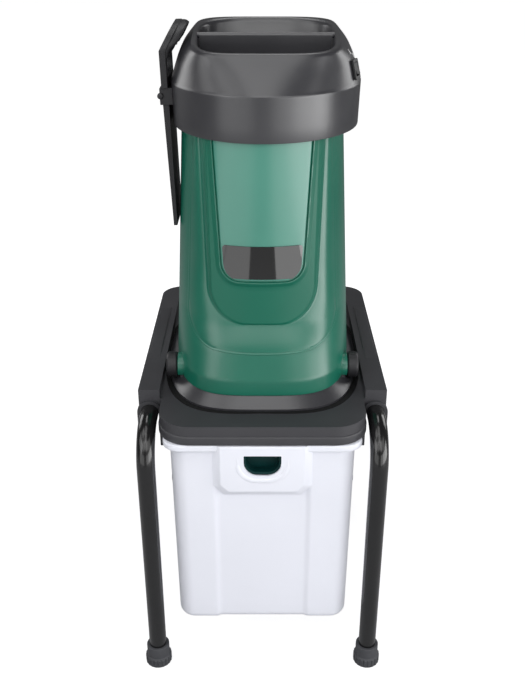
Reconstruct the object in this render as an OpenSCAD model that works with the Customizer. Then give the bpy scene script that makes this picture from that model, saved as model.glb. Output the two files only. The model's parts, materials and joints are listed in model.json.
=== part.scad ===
// Electric garden shredder on a tube stand, with a pull-out collection box.
// X is across the machine, Y runs from the front to the rear and Z is up from the floor.

/* [Stand] */
// Outer diameter of the stand tubes
tube_d = 28; // [24:1:32]
// Wall of the stand tubes
tube_wall = 1.5; // [1:0.1:2.5]
// Bend radius of the tube axis
bend_r = 56; // [48:1:64]
// Distance of the front leg axes in front of the centre
front_leg_y = 246; // [236:1:256]
// Distance of the rear leg axes behind the centre
rear_leg_y = 197; // [192:1:205]
// Height of the level tube runs above the floor
run_z = 440; // [430:1:446]
// Outer diameter of a foot's sleeve
foot_d = 37; // [34:1:40]
// Height of a foot
foot_h = 38; // [30:1:46]
// Outer diameter of a foot's notched skirt
foot_skirt_d = 43; // [41:1:46]
// Height of a foot's notched skirt
foot_skirt_h = 17; // [12:1:22]
// Number of notches round a foot's skirt
foot_notches = 20; // [12:1:26]
// Thickness of a foot's sole
foot_sole = 6; // [4:1:9]

/* [Wheels] */
// Radius of the transport wheels
wheel_r = 70; // [60:1:74]
// Width of a wheel's tread
wheel_w = 30; // [24:1:33]
// Outer diameter of a wheel's hub
hub_d = 32; // [26:1:38]
// Number of spokes in a wheel
wheel_spokes = 6; // [5:1:8]
// Thickness of a wheel's rim
wheel_rim = 12; // [9:1:16]
// Diameter of the axle
axle_d = 12; // [10:0.5:14]
// Diameter of the axle's end caps
axle_cap_d = 22; // [20:1:26]
// Depth of the axle's end caps
axle_cap_h = 6; // [4:0.5:7]

/* [Deck] */
// Height of the deck's centre plate
deck_z = 461; // [458:1:463]
// Depth of the deck's front apron
apron_h = 31; // [29:1:33]
// Half width of the deck's centre plate at the front
apron_half_w = 156; // [152:1:157]
// Front edge of the deck, measured from the centre
deck_front_y = 250; // [246:1:256]
// Rear edge of the deck, measured from the centre
deck_rear_y = 254; // [246:1:260]
// Corner radius at the front of the deck
deck_front_r = 50; // [40:1:60]
// Corner radius at the rear of the deck
deck_rear_r = 40; // [30:1:46]
// Height of the top of the side rails
rail_top_z = 477; // [474:1:482]
// Height of the lower edge of the side rails
rail_low_z = 380; // [372:1:390]
// Front end of the side rails, measured from the centre
rail_front_y = 167; // [160:1:176]
// Wall of the side rails
rail_wall = 2.3; // [1.8:0.1:3]
// Thickness of the deck's top walls
deck_wall = 5; // [4:0.5:6]
// Wall of the deck's apron
apron_wall = 4; // [3:0.5:5]
// Number of saddle ribs that hold each tube
saddle_count = 3; // [2:1:4]
// Thickness of a saddle rib
saddle_w = 4; // [3:0.5:6]
// How far the lip round a tube's opening stands out
lip_out = 5; // [3:0.5:8]
// Width of the lip round a tube's opening
lip_w = 5; // [3:0.5:6]

/* [Lower housing] */
// Height where the upper housing sits
seat_z = 480; // [478:1:482]
// How far the collar flares out below the upper housing
collar_flare = 15; // [10:1:18]
// Height of the collar's outer edge above the deck
collar_edge = 4; // [2:0.5:6]
// Distance of the blade axis behind the centre
axis_y = 45; // [42:1:48]
// Inside radius of the blade chamber
chamber_r = 114; // [112:1:117]
// Wall of the blade chamber
chamber_wall = 4; // [3:0.5:5]
// Height of the chamber's lower edge
chamber_low_z = 436; // [434:1:440]
// Thickness of the floor of the lower housing
web_h = 4; // [3:0.5:5]

/* [Upper housing] */
// Half width of the housing at its seat
housing_low_half_w = 141.5; // [139:0.5:143]
// Half width of the housing under the hood
housing_top_half_w = 123; // [120:1:126]
// Front of the housing's lower band, measured from the centre
band_front_y = 191; // [186:1:194]
// Height of the top of the lower band
band_top_z = 505; // [500:1:510]
// Front of the housing at the outer step
step_front_y = 176.5; // [174:0.5:180]
// Height of the outer step
step_z = 543; // [537:1:549]
// Front of the housing at the inner step
shoulder_front_y = 158; // [155:0.5:161]
// Height of the inner step
shoulder_z = 583; // [577:1:589]
// Front of the housing under the hood
housing_top_front_y = 120; // [114:1:126]
// Rear of the housing at its seat
housing_low_rear_y = 170; // [166:1:174]
// Rear of the housing under the hood
housing_top_rear_y = 126; // [122:1:130]
// Height of the housing's upper edge
housing_top_z = 862; // [860:1:866]
// Wall of the housing
shell_wall = 3.2; // [2.5:0.1:4]
// Seam between housing pieces
seam = 0.5; // [0.3:0.1:0.8]
// Number of cooling slots on each side of the rear wall
vent_count = 7; // [4:1:9]
// Length of a cooling slot
vent_l = 56; // [48:1:60]
// Height of a cooling slot
vent_h = 5; // [4:0.5:6]

/* [Front cover] */
// Half width of the cover's outer edge under the hood
cover_top_half_w = 102; // [99:1:104]
// Half width of the cover's outer edge at its lower corners
cover_low_half_w = 115; // [112:1:116]
// Half width of the raised core under the hood
core_top_half_w = 80; // [77:1:83]
// Half width of the raised core at its lower corners
core_low_half_w = 72; // [70:1:74]
// Front of the core at its foot
core_low_front_y = 163; // [161:0.5:165]
// Front of the core under the hood
core_top_front_y = 142; // [140:0.5:143]
// How far the core's face bows back at its foot
core_low_bow = 14; // [12:1:18]
// How far the core's face bows back under the hood
core_top_bow = 32; // [31:1:34]
// How much wider the core's root is than its face
core_root = 11; // [8:1:14]
// Half width of the inset panel under the hood
panel_top_half_w = 69.5; // [66:0.5:71]
// Half width of the inset panel at its lower corners
panel_low_half_w = 58.5; // [55:0.5:60]
// Height of the lower edge of the inset panel
panel_low_z = 652.5; // [648:0.5:658]
// Width of the raised frame round the panel
frame_w = 6; // [4:0.5:8]
// Depth of the grooves along the frame
groove = 1.2; // [0.8:0.1:1.8]
// Height of the plate at the foot of the panel
plate_h = 49; // [44:1:52]
// Thickness of the plate
plate_t = 2; // [1.5:0.1:2.5]

/* [Hood] */
// Half width of the hood on the side where the plunger hangs
hood_left_half_w = 137; // [134:1:138]
// Half width of the hood on the switch side
hood_right_half_w = 147; // [142:1:150]
// Front of the hood, measured from the centre
hood_front_y = 150; // [149:1:154]
// Rear of the hood, measured from the centre
hood_rear_y = 138; // [136:1:142]
// Height of the hood's lower edge
hood_low_z = 850; // [846:1:853]
// Height of the hood's crease
crease_z = 913; // [908:1:918]
// How far the hood's sides draw in between its crease and its shoulder
side_draw = 9; // [7:1:11]
// Height of the front lip of the feed opening
lip_z = 963; // [958:1:968]
// Height of the rear rim of the feed opening
rear_rim_z = 987; // [982:1:992]
// Half width of the feed opening
feed_half_w = 98; // [94:1:100]
// Front of the feed opening, measured from the centre
feed_front_y = 98; // [94:1:102]
// Rear of the feed opening, measured from the centre
feed_rear_y = 110; // [106:1:112]
// Width of the rim round the feed opening
rim_w = 11; // [9:1:13]
// Wall of the hood
hood_wall = 3; // [2.5:0.1:3.5]
// Thickness of the guard wall across the feed opening
guard_t = 7; // [5:0.5:9]
// How far the guard wall stays below the rim
guard_drop = 3; // [2:0.5:6]

/* [Feed chute] */
// Length of the feed slot above the blades
slot_l = 96; // [92:1:99]
// Width of the feed slot above the blades
slot_w = 40; // [38:1:42]
// Wall of the feed chute
chute_wall = 2.5; // [2:0.1:3]
// Height where the chute reaches its slot size
chute_neck_z = 735; // [725:1:745]

/* [Motor and blades] */
// Outer diameter of the motor
motor_d = 98; // [92:1:100]
// Height of the motor can
motor_h = 150; // [140:1:165]
// Wall of the motor can
motor_wall = 2.5; // [2:0.1:3.5]
// Diameter of the motor shaft
shaft_d = 15; // [12:0.5:17]
// Outer diameter of the motor bearings
bearing_d = 35; // [32:1:38]
// Width of the motor bearings
bearing_w = 11; // [9:0.5:13]
// Diameter of the armature
armature_d = 54; // [48:1:56]
// Height of the armature
armature_h = 62; // [50:1:70]
// Thickness of the motor plate
motor_plate_t = 6; // [5:0.5:8]
// Radius of the blade disc
disc_r = 108; // [104:1:110]
// Thickness of the blade disc
disc_t = 6; // [5:0.5:7]
// Length of a blade
blade_l = 62; // [54:1:66]
// Width of a blade
blade_w = 28; // [24:1:32]
// Thickness of a blade
blade_t = 4; // [3:0.5:5]
// Thread diameter of the blade screws
blade_screw_d = 6; // [5:0.5:7]

/* [Clamp knobs] */
// Diameter of the clamp knobs
knob_d = 41; // [38:1:42]
// Length of the clamp knobs
knob_h = 17; // [14:1:20]
// Diameter of the bosses behind the knobs
boss_d = 40; // [36:1:41]
// Distance from the middle of the machine to a boss's outer face
boss_out_x = 133.5; // [132:0.5:135]
// Distance of the clamp axis in front of the centre
clamp_y = 107; // [105:1:110]
// Height of the clamp axis above the seat
clamp_rise = 11; // [10:0.5:12]
// Diameter of the clamp studs
stud_d = 8; // [6:0.5:9]
// Thickness of the lugs that the studs clamp
lug_t = 4; // [3:0.5:5]
// Width of the lugs
lug_w = 30; // [26:1:31]
// How far the lugs rise above the clamp axis
lug_rise = 9; // [7:0.5:10]

/* [Rear hinge] */
// Distance of the hinge pin behind the centre
hinge_y = 199; // [198:1:204]
// Height of the hinge pin above the seat
hinge_rise = 9; // [8:0.5:11]
// Diameter of the hinge pin
hinge_pin_d = 8; // [6:0.5:9]
// Outer diameter of the hinge knuckles
knuckle_d = 17; // [15:0.5:18]
// Length of the middle knuckle
knuckle_l = 60; // [50:1:80]
// Length of each outer knuckle
outer_knuckle_l = 16; // [12:1:22]

/* [Collection box] */
// Half width of the box under its rim
box_top_half_w = 140; // [137:1:141]
// Half width of the box at its floor
box_low_half_w = 137; // [132:1:139]
// Front of the box under its rim, measured from the centre
box_front_y = 245; // [240:1:247]
// Rear of the box under its rim, measured from the centre
box_rear_y = 113; // [108:1:114]
// How far the box's ends draw in towards its floor
box_end_taper = 3; // [1:0.5:8]
// Height of the box's underside
box_low_z = 85; // [75:1:100]
// Corner radius of the box
box_corner_r = 26; // [20:1:32]
// Radius round the box's floor
box_floor_r = 14; // [10:1:18]
// Wall of the box
box_wall = 3; // [2.5:0.1:3.5]
// Height of the box's rim
rim_h = 20; // [16:1:22]
// How far the box's rim stands out at the sides
rim_out = 10; // [9:0.5:11]
// Gap between the box's rim and the rails beside it
rim_side_gap = 8.5; // [6:0.5:12]
// How far the box's rim stands out at the front
rim_front_out = 6; // [4:0.5:8]
// Half width of the recessed front panel
recess_half_w = 67; // [60:1:72]
// Depth of the recessed front panel
recess_depth = 3; // [2:0.5:4]
// Half width of the lock housing's face
lock_house_half_w = 64; // [58:1:68]
// Height of the lock housing
lock_house_h = 80; // [74:1:88]
// How far the lock housing stands out
lock_house_out = 10; // [8:0.5:12]
// Width of the lock's finger opening
lock_w = 56; // [50:1:60]
// Height of the lock's finger opening
lock_h = 35; // [32:1:38]
// How far the lock slides down
lock_down = 6; // [4:0.5:7]
// How far the lock slides up
lock_up = 4; // [3:0.5:5]

/* [Plunger] */
// Thickness of the plunger at its grip
plunger_t = 9; // [8:0.5:10]
// Thickness of the plunger at its foot
plunger_foot_t = 5.5; // [5:0.5:7]
// Width of the plunger's blade
plunger_w = 90; // [80:1:94]
// Front edge of the plunger's blade, measured from the centre
plunger_front_y = 25; // [20:1:30]
// Height of the plunger's foot
plunger_low_z = 694; // [685:1:705]
// Height of the grip's straight part above the holder
grip_h = 52; // [48:1:56]
// Height of the arch on top of the grip
grip_arch = 30; // [26:1:31]
// Inward lean of the arch, in degrees
grip_lean = 30; // [20:1:32]
// How far the plunger's grip is wider than its blade
grip_out = 7; // [5:0.5:9]
// Outward lean of the hanging plunger, in degrees
plunger_lean = 1.4; // [1:0.1:1.8]
// Height of the holder's lower edge
holder_low_z = 880; // [876:1:884]
// Height of the holder
holder_h = 24; // [20:1:26]
// Wall of the holder
holder_wall = 3; // [2.5:0.1:4]

/* [Switch and inlet] */
// Width of the switch bezel
switch_w = 26; // [24:1:28]
// Height of the switch bezel up the hood's slope
switch_h = 28; // [26:1:31]
// Rocking angle of the switch, in degrees
rocker_tilt = 8; // [5:1:12]
// Width of the power inlet
inlet_w = 34; // [30:1:40]
// Height of the power inlet
inlet_h = 28; // [24:1:32]
// Height of the power inlet's middle
inlet_z = 760; // [740:1:780]
// Diameter of the overload reset button
reset_d = 12; // [10:0.5:14]
// Travel of the overload reset button
reset_travel = 3; // [2:0.5:3.5]

/* [Fits] */
// Gap between seated pieces of one body
seat_gap = 0.2; // [0.1:0.05:0.3]
// Gap between pieces that move past each other
run_gap = 0.6; // [0.4:0.1:0.8]
// Radial play of a running fit
fit = 0.05; // [0.03:0.01:0.08]

/* [Hidden] */
$fn = 64;

// A hair of overlap that keeps cuts clean
eps = 0.02;
tube_r = tube_d / 2;
rail_half = tube_r + seat_gap + rail_wall;
rail_in_x = box_top_half_w + rim_out + rim_side_gap;
tube_x = rail_in_x + rail_half;
rail_out_x = tube_x + rail_half;
apron_low_z = deck_z - apron_h;
clamp_z = seat_z + clamp_rise;
hinge_z = seat_z + hinge_rise;
boss_in_x = boss_out_x - 25.5;
lug_out_x = boss_out_x - 3.5;
lug_in_x = lug_out_x - lug_t;
lug_top_z = clamp_z + lug_rise;

green = [0.13, 0.42, 0.33];
dark = [0.17, 0.17, 0.18];
black = [0.08, 0.08, 0.09];
white = [0.90, 0.91, 0.95];
steel = [0.62, 0.63, 0.65];
alloy = [0.72, 0.73, 0.74];

function mix(a, b, t) = a + (b - a) * t;
function spow(v, e) = sign(v) * pow(abs(v), e);

// Plan outline with its own reach to each side, and its own fullness at front and rear
plan_n = 64;
function plan_point(a, left, right, front, rear, mid, n_front, n_rear) =
    let (c = cos(a), s = sin(a), n = s < 0 ? n_front : n_rear)
    [(c < 0 ? left : right) * spow(c, 2 / n),
     mid + (s < 0 ? front + mid : rear - mid) * spow(s, 2 / n)];
function plan(left, right, front, rear, mid, n_front, n_rear) =
    [for (k = [0:plan_n - 1]) plan_point(360 * k / plan_n, left, right, front, rear, mid, n_front, n_rear)];
function at_z(outline, z) = [for (p = outline) [p[0], p[1], z]];

// Closed skin through a cycle of rings, up the outside and down the inside
module skin(rings) {
    n = len(rings[0]);
    m = len(rings);
    polyhedron(
        points = [for (r = rings) each r],
        faces = [for (i = [0:m - 1], j = [0:n - 1])
            let (a = i * n + j, b = ((i + 1) % m) * n + j,
                 c = ((i + 1) % m) * n + (j + 1) % n, d = i * n + (j + 1) % n)
            each [[a, b, c], [a, c, d]]]);
}

// Closed solid through rings, from its floor to its last ring
module loft(rings) {
    n = len(rings[0]);
    m = len(rings);
    polyhedron(
        points = [for (r = rings) each r],
        faces = concat(
            [[for (j = [0:n - 1]) j]],
            [for (i = [0:m - 2], j = [0:n - 1])
                let (a = i * n + j, b = (i + 1) * n + j,
                     c = (i + 1) * n + (j + 1) % n, d = i * n + (j + 1) % n)
                each [[a, b, c], [a, c, d]]],
            [[for (j = [n - 1:-1:0]) (m - 1) * n + j]]));
}

// Rectangle with round corners, centred
module round_rect(w, h, r) {
    square([w - 2 * r, h], center = true);
    square([w, h - 2 * r], center = true);
    for (sx = [-1, 1], sy = [-1, 1])
        translate([sx * (w / 2 - r), sy * (h / 2 - r)]) circle(r);
}

// Cylinder from one X to another
module bar_x(d, x0, x1, y, z) {
    translate([x0, y, z]) rotate([0, 90, 0]) cylinder(d = d, h = x1 - x0);
}

// Box given by its lowest and highest corners
module block(lo, hi) {
    translate(lo) cube(hi - lo);
}

/* Stand */

module tube_run(d) {
    front_y = -front_leg_y;
    translate([0, front_y, foot_sole]) cylinder(d = d, h = run_z - bend_r - foot_sole);
    translate([0, front_y + bend_r, run_z - bend_r]) rotate([90, 0, -90]) rotate_extrude(angle = 90)
        translate([bend_r, 0]) circle(d = d);
    translate([0, front_y + bend_r, run_z]) rotate([-90, 0, 0])
        cylinder(d = d, h = rear_leg_y - bend_r - front_y - bend_r);
    translate([0, rear_leg_y - bend_r, run_z - bend_r]) rotate([90, 0, 90]) rotate_extrude(angle = 90)
        translate([bend_r, 0]) circle(d = d);
    translate([0, rear_leg_y, wheel_r - tube_r]) cylinder(d = d, h = run_z - bend_r - wheel_r + tube_r);
}

module leg_tube(side) {
    color(black) translate([side * tube_x, 0, 0]) difference() {
        tube_run(tube_d);
        tube_run(tube_d - 2 * tube_wall);
        translate([0, -front_leg_y, foot_sole - 1]) cylinder(d = tube_d - 2 * tube_wall, h = 2);
        translate([0, rear_leg_y, wheel_r - tube_r - 1]) cylinder(d = tube_d - 2 * tube_wall, h = 2);
        bar_x(axle_d + 2 * fit, -tube_d, tube_d, rear_leg_y, wheel_r);
    }
}
module leg_tube_left() { leg_tube(-1); }
module leg_tube_right() { leg_tube(1); }

module foot(side) {
    notch_r = 1.8;
    chamfer = 2;
    color(dark) translate([side * tube_x, -front_leg_y, 0]) difference() {
        rotate_extrude() polygon([
            [0, 0], [foot_skirt_d / 2 - chamfer, 0], [foot_skirt_d / 2, chamfer],
            [foot_skirt_d / 2, foot_skirt_h - chamfer], [foot_d / 2 + 1, foot_skirt_h],
            [foot_d / 2, foot_skirt_h + 1], [foot_d / 2, foot_h - 1],
            [foot_d / 2 - 1, foot_h], [0, foot_h]]);
        translate([0, 0, foot_sole]) cylinder(d = tube_d + 2 * fit, h = foot_h);
        for (k = [0:foot_notches - 1]) rotate(360 * k / foot_notches)
            translate([foot_skirt_d / 2 + 0.4, 0, -1]) cylinder(r = notch_r, h = foot_skirt_h + 2, $fn = 24);
    }
}
module foot_left() { foot(-1); }
module foot_right() { foot(1); }

/* Wheels */

wheel_out_x = tube_x - tube_r - run_gap;
hub_l = wheel_w + 6;
axle_end_x = tube_x + tube_r + 2;

module wheel_axle() {
    collar_x = wheel_out_x - hub_l - run_gap;
    color(steel) {
        bar_x(axle_d, -axle_end_x, axle_end_x, rear_leg_y, wheel_r);
        // Collars that keep the wheels beside the legs
        for (s = [-1, 1]) bar_x(axle_d + 6, s > 0 ? collar_x - 3 : -collar_x, s > 0 ? collar_x : 3 - collar_x,
                                rear_leg_y, wheel_r);
    }
}

module axle_caps() {
    color(black) for (side = [-1, 1]) difference() {
        translate([side * (tube_x + tube_r + seat_gap), rear_leg_y, wheel_r]) rotate([0, side * 90, 0])
            rotate_extrude() polygon([[0, 0], [axle_cap_d / 2, 0], [axle_cap_d / 2, axle_cap_h - 2],
                                      [axle_cap_d / 2 - 3, axle_cap_h], [0, axle_cap_h]]);
        bar_x(axle_d + 2 * fit, -axle_end_x - fit, axle_end_x + fit, rear_leg_y, wheel_r);
    }
}

module wheel(side) {
    web_t = 6;
    web_r = wheel_r - wheel_rim;
    color(black) translate([side * (wheel_out_x - hub_l), rear_leg_y, wheel_r]) rotate([0, side * 90, 0])
    difference() {
        union() {
            rotate_extrude() polygon([
                [web_r, 3], [wheel_r - 3, 3], [wheel_r, 6], [wheel_r, wheel_w], [wheel_r - 3, wheel_w + 3],
                [web_r, wheel_w + 3]]);
            cylinder(d = hub_d, h = hub_l);
            translate([0, 0, hub_l / 2 - web_t / 2]) cylinder(r = web_r + 1, h = web_t);
            for (k = [0:wheel_spokes - 1]) rotate(360 * k / wheel_spokes)
                translate([0, -3, hub_l / 2 - 11]) cube([web_r + 1, 6, 22]);
        }
        translate([0, 0, -1]) cylinder(d = axle_d + 2 * fit, h = hub_l + 2);
    }
}
module wheel_left() { wheel(-1); }
module wheel_right() { wheel(1); }

/* Deck */

module deck_outline(grow) {
    front_w = 2 * apron_half_w + 2 * grow;
    front_y = -deck_front_y - grow;
    side_w = 2 * rail_out_x + 2 * grow;
    rear_l = deck_rear_y + rail_front_y + 2 * grow;
    r_front = deck_front_r + grow;
    r_rear = deck_rear_r + grow;
    translate([0, front_y + deck_front_y]) round_rect(front_w, 2 * deck_front_y, r_front);
    translate([0, deck_rear_y + grow - rear_l / 2]) {
        square([side_w - 2 * r_rear, rear_l], center = true);
        translate([0, -r_rear / 2]) square([side_w, rear_l - r_rear], center = true);
        for (s = [-1, 1]) translate([s * (side_w / 2 - r_rear), rear_l / 2 - r_rear]) circle(r_rear);
    }
}

module rail_outline(grow) {
    intersection() {
        deck_outline(grow);
        for (s = [-1, 1]) translate([s * tube_x, (deck_rear_y - rail_front_y) / 2])
            square([2 * (rail_half + grow), deck_rear_y + rail_front_y + 2 * grow], center = true);
    }
}

// The lip and the hole where a tube leaves its rail
module tube_arch(r, h) {
    rotate([-90, 0, 0]) cylinder(r = r, h = h);
    translate([-r, 0, rail_low_z - run_z]) cube([2 * r, h, run_z - rail_low_z]);
}

runner_t = 5.5;
runner_in_x = box_top_half_w + 3;
runner_rear_y = box_rear_y - 2;
runner_gap = 0.3;
arch_l = lip_out + 1 + rail_front_y + rear_leg_y - bend_r;
saddle_front_y = 60 - rail_front_y;
saddle_rear_y = rear_leg_y - bend_r - 20;

module base_deck() {
    color(dark) difference() {
        union() {
            difference() {
                translate([0, 0, apron_low_z]) linear_extrude(apron_h) deck_outline(0);
                translate([0, 0, apron_low_z - 1]) linear_extrude(apron_h - deck_wall + 1)
                    deck_outline(-apron_wall);
            }
            translate([0, 0, rail_low_z]) linear_extrude(rail_top_z - rail_low_z) rail_outline(0);
            for (s = [-1, 1]) {
                translate([s * tube_x, -rail_front_y - lip_out, run_z])
                    tube_arch(tube_r + seat_gap + lip_w, lip_out + 1);
                runner_w = rail_in_x + rail_wall - runner_in_x;
                translate([s > 0 ? runner_in_x : -runner_in_x - runner_w, -rail_front_y + rail_wall,
                           rim_low_z - runner_gap - runner_t])
                    cube([runner_w, runner_rear_y + rail_front_y - rail_wall, runner_t]);
            }
        }
        translate([0, 0, rail_low_z - 1]) linear_extrude(rail_top_z - rail_low_z - deck_wall + 1)
        difference() {
            rail_outline(-rail_wall);
            for (k = [0:saddle_count - 1])
                translate([0, mix(saddle_front_y, saddle_rear_y, k / (saddle_count - 1))])
                square([2 * rail_out_x, saddle_w], center = true);
        }
        for (s = [-1, 1]) translate([s * tube_x, -rail_front_y - lip_out - 1, run_z])
            tube_arch(tube_r + seat_gap, arch_l);
        translate([0, axis_y, apron_low_z - 1])
            cylinder(r = chamber_r + chamber_wall + seat_gap, h = apron_h + 2);
    }
}

// Switch that the lock's tongue closes, held under the deck's plate
interlock_low_z = apron_low_z + lock_up + run_gap;
module box_interlock() {
    w = 28;
    l = 16;
    color(black) translate([0, lock_tongue_y, 0]) {
        translate([-w / 2, -l / 2 + 2, interlock_low_z + 3])
            cube([w, l, deck_z - deck_wall - seat_gap - interlock_low_z - 3]);
        translate([0, 0, interlock_low_z]) cylinder(d = 5, h = 4);
    }
}

/* Lower housing with the blade chamber */

function housing_front(z) = lookup(z, [
    [seat_z, band_front_y], [band_top_z, band_front_y], [step_z, step_front_y],
    [shoulder_z, shoulder_front_y], [panel_low_z, shoulder_front_y - 16],
    [housing_top_z, housing_top_front_y]]);
function housing_share(z) = (z - seat_z) / (housing_top_z - seat_z);
function housing_half(z) = mix(housing_low_half_w, housing_top_half_w, housing_share(z));
function housing_rear(z) = mix(housing_low_rear_y, housing_top_rear_y, housing_share(z));
function housing_mid(z) = mix(-20, 10, housing_share(z));
// Fullness of the front corners, and the share by which the sides draw in towards the front
function front_full(z) = lookup(z, [[band_top_z, 3.6], [shoulder_z, 2.9], [panel_low_z, 2.6]]);
front_taper = 0.12;
rear_full = 3.2;
function drawn_in(outline, mid, front) = [for (p = outline)
    [p[0] * (1 - front_taper * max(0, (mid - p[1]) / (mid + front))), p[1]]];
function housing_plan(z, inset) = drawn_in(plan(housing_half(z) - inset, housing_half(z) - inset,
    housing_front(z) - inset, housing_rear(z) - inset, housing_mid(z), front_full(z), rear_full),
    housing_mid(z), housing_front(z) - inset);

module lower_housing() {
    floor_z = deck_z + seat_gap;
    edge_z = floor_z + collar_edge;
    top_z = seat_z;
    gusset_w = 4;
    gusset_l = 12;
    color(dark) difference() {
        union() {
            skin([at_z(housing_plan(seat_z, -collar_flare), floor_z),
                  at_z(housing_plan(seat_z, -collar_flare), edge_z),
                  at_z(housing_plan(seat_z, 1), top_z), at_z(housing_plan(seat_z, 1 + shell_wall), top_z),
                  at_z(housing_plan(seat_z, -collar_flare + 2 * shell_wall), floor_z)]);
            translate([0, 0, floor_z]) linear_extrude(web_h)
                polygon(housing_plan(seat_z, -collar_flare + shell_wall));
            translate([0, axis_y, chamber_low_z])
                cylinder(r = chamber_r + chamber_wall, h = top_z - 1 - chamber_low_z);
            for (s = [-1, 1]) {
                translate([s > 0 ? lug_in_x : -lug_in_x - lug_t, -clamp_y - lug_w / 2, floor_z])
                    cube([lug_t, lug_w, lug_top_z - floor_z]);
                // Gussets that stiffen the lug on its outer side
                for (e = [-1, 1])
                    translate([s * (lug_out_x - eps), -clamp_y + e * (lug_w - gusset_w) / 2, floor_z])
                    rotate([90, 0, 0]) linear_extrude(gusset_w, center = true)
                        polygon([[0, 0], [s * gusset_l, 0], [0, clamp_z - boss_d / 2 - run_gap - floor_z]]);
                translate([s * (knuckle_l / 2 + run_gap + outer_knuckle_l / 2), 0, 0]) {
                    bar_x(knuckle_d, -outer_knuckle_l / 2, outer_knuckle_l / 2, hinge_y, hinge_z);
                    block([-outer_knuckle_l / 2, hinge_y - knuckle_d / 2 - 14, floor_z],
                          [outer_knuckle_l / 2, hinge_y + knuckle_d / 2 - 1, hinge_z - 2]);
                }
            }
        }
        translate([0, axis_y, chamber_low_z - 1]) intersection() {
            cylinder(r = chamber_r, h = seat_z);
            // The floor closes the chamber behind the box
            translate([-chamber_r, -chamber_r, 0])
                cube([2 * chamber_r, chamber_r + box_rear_y - 14 - axis_y, web_h + 1]);
        }
        translate([0, axis_y, chamber_low_z + web_h]) cylinder(r = chamber_r, h = seat_z);
        for (s = [-1, 1]) translate([s * (lug_in_x + lug_t / 2), -clamp_y, clamp_z]) {
            rotate([0, 90, 0]) cylinder(d = stud_d + 2 * run_gap, h = lug_t + 2, center = true);
            translate([-lug_t / 2 - 1, -stud_d / 2 - run_gap, 0]) cube([lug_t + 2, stud_d + 2 * run_gap, 20]);
        }
        // Hollows in the collar that leave room for the knobs
        for (s = [-1, 1]) bar_x(knob_d + 4 * run_gap, s > 0 ? boss_out_x : -boss_out_x - 2 * knob_h,
                                s > 0 ? boss_out_x + 2 * knob_h : -boss_out_x, -clamp_y, clamp_z);
        bar_x(hinge_pin_d + 2 * fit, -200, 200, hinge_y, hinge_z);
    }
}

module hinge_pin() {
    l = knuckle_l / 2 + run_gap + outer_knuckle_l;
    color(steel) bar_x(hinge_pin_d, -l, l, hinge_y, hinge_z);
}

/* Upper housing */

// One half of a U-shaped line, from under the hood to its lowest point
leg_steps = 6;
arc_steps = 7;
floor_steps = 4;
u_steps = leg_steps + arc_steps + floor_steps;
// U lines: half width on top, half width below, lowest point, corner width, corner height, bow
function u_point(u, j) =
    let (corner_z = u[2] + u[5] + u[4])
    j <= leg_steps ? [mix(u[0], u[1], j / leg_steps), mix(housing_top_z, corner_z, j / leg_steps)]
    : j <= leg_steps + arc_steps ?
        let (a = 90 * (j - leg_steps) / arc_steps)
        [u[1] - u[3] + u[3] * cos(a), corner_z - u[4] * sin(a)]
    : let (t = 1 - (j - leg_steps - arc_steps) / floor_steps)
        [t * (u[1] - u[3]), u[2] + u[5] * t * t];
function u_grow(u, g) = [u[0] + g, u[1] + g, u[2] - g, u[3] + g, u[4] + g, u[5]];
cover_u = [cover_top_half_w, cover_low_half_w, step_z, 48, 42, 3];
root_u = [core_top_half_w + core_root, core_low_half_w + core_root, shoulder_z, 56, 58, 0];
core_u = [core_top_half_w, core_low_half_w, shoulder_z + 14, 46, 46, 0];
panel_u = [panel_top_half_w, panel_low_half_w, panel_low_z, 24, 24, 0.5];
spine_low_z = panel_low_z + 60;

// Share of the way from the housing's middle to its front at which it is x wide
function front_share(x, h, n, low = 0, high = 1, left = 24) =
    let (u = (low + high) / 2)
    left == 0 ? u
    : h * (1 - front_taper * u) * pow(1 - pow(u, n), 1 / n) > abs(x)
        ? front_share(x, h, n, u, high, left - 1) : front_share(x, h, n, low, u, left - 1);
function housing_face(x, z) =
    housing_mid(z) - (housing_front(z) + housing_mid(z)) * front_share(x, housing_half(z), front_full(z));
function core_face(x, z) =
    let (t = (z - shoulder_z) / (hood_low_z - shoulder_z))
    -mix(core_low_front_y, core_top_front_y, t)
    + mix(core_low_bow, core_top_bow, t) * pow(x / core_top_half_w, 2);

// Lines of the cover from its middle to its edge, each with its own face
cover_lines = 8;
function cover_line(k) =
    k == 1 ? [for (i = [0:5]) i == 2 ? mix(spine_low_z, panel_low_z, 0.5) : panel_u[i] / 2]
    : k == 2 ? panel_u
    : k == 3 ? u_grow(panel_u, 1.5)
    : k == 4 ? u_grow(panel_u, frame_w)
    : k == 5 ? u_grow(panel_u, frame_w + 1.5)
    : k == 6 ? core_u
    : k == 7 ? root_u
    : cover_u;
cover_step = 1.5;
function cover_y(k, x, z) =
    k == 3 || k == 4 ? core_face(x, z)
    : k <= 6 ? core_face(x, z) + groove
    : k == 7 ? housing_face(x, z) - cover_step - 0.5
    : housing_face(x, z) - cover_step;
function cover_point(k, j) =
    k == 0 ? let (z = mix(housing_top_z, spine_low_z, j / u_steps)) [0, cover_y(0, 0, z), z]
    : let (p = u_point(cover_line(abs(k)), j)) [sign(k) * p[0], cover_y(abs(k), p[0], p[1]), p[1]];

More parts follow.
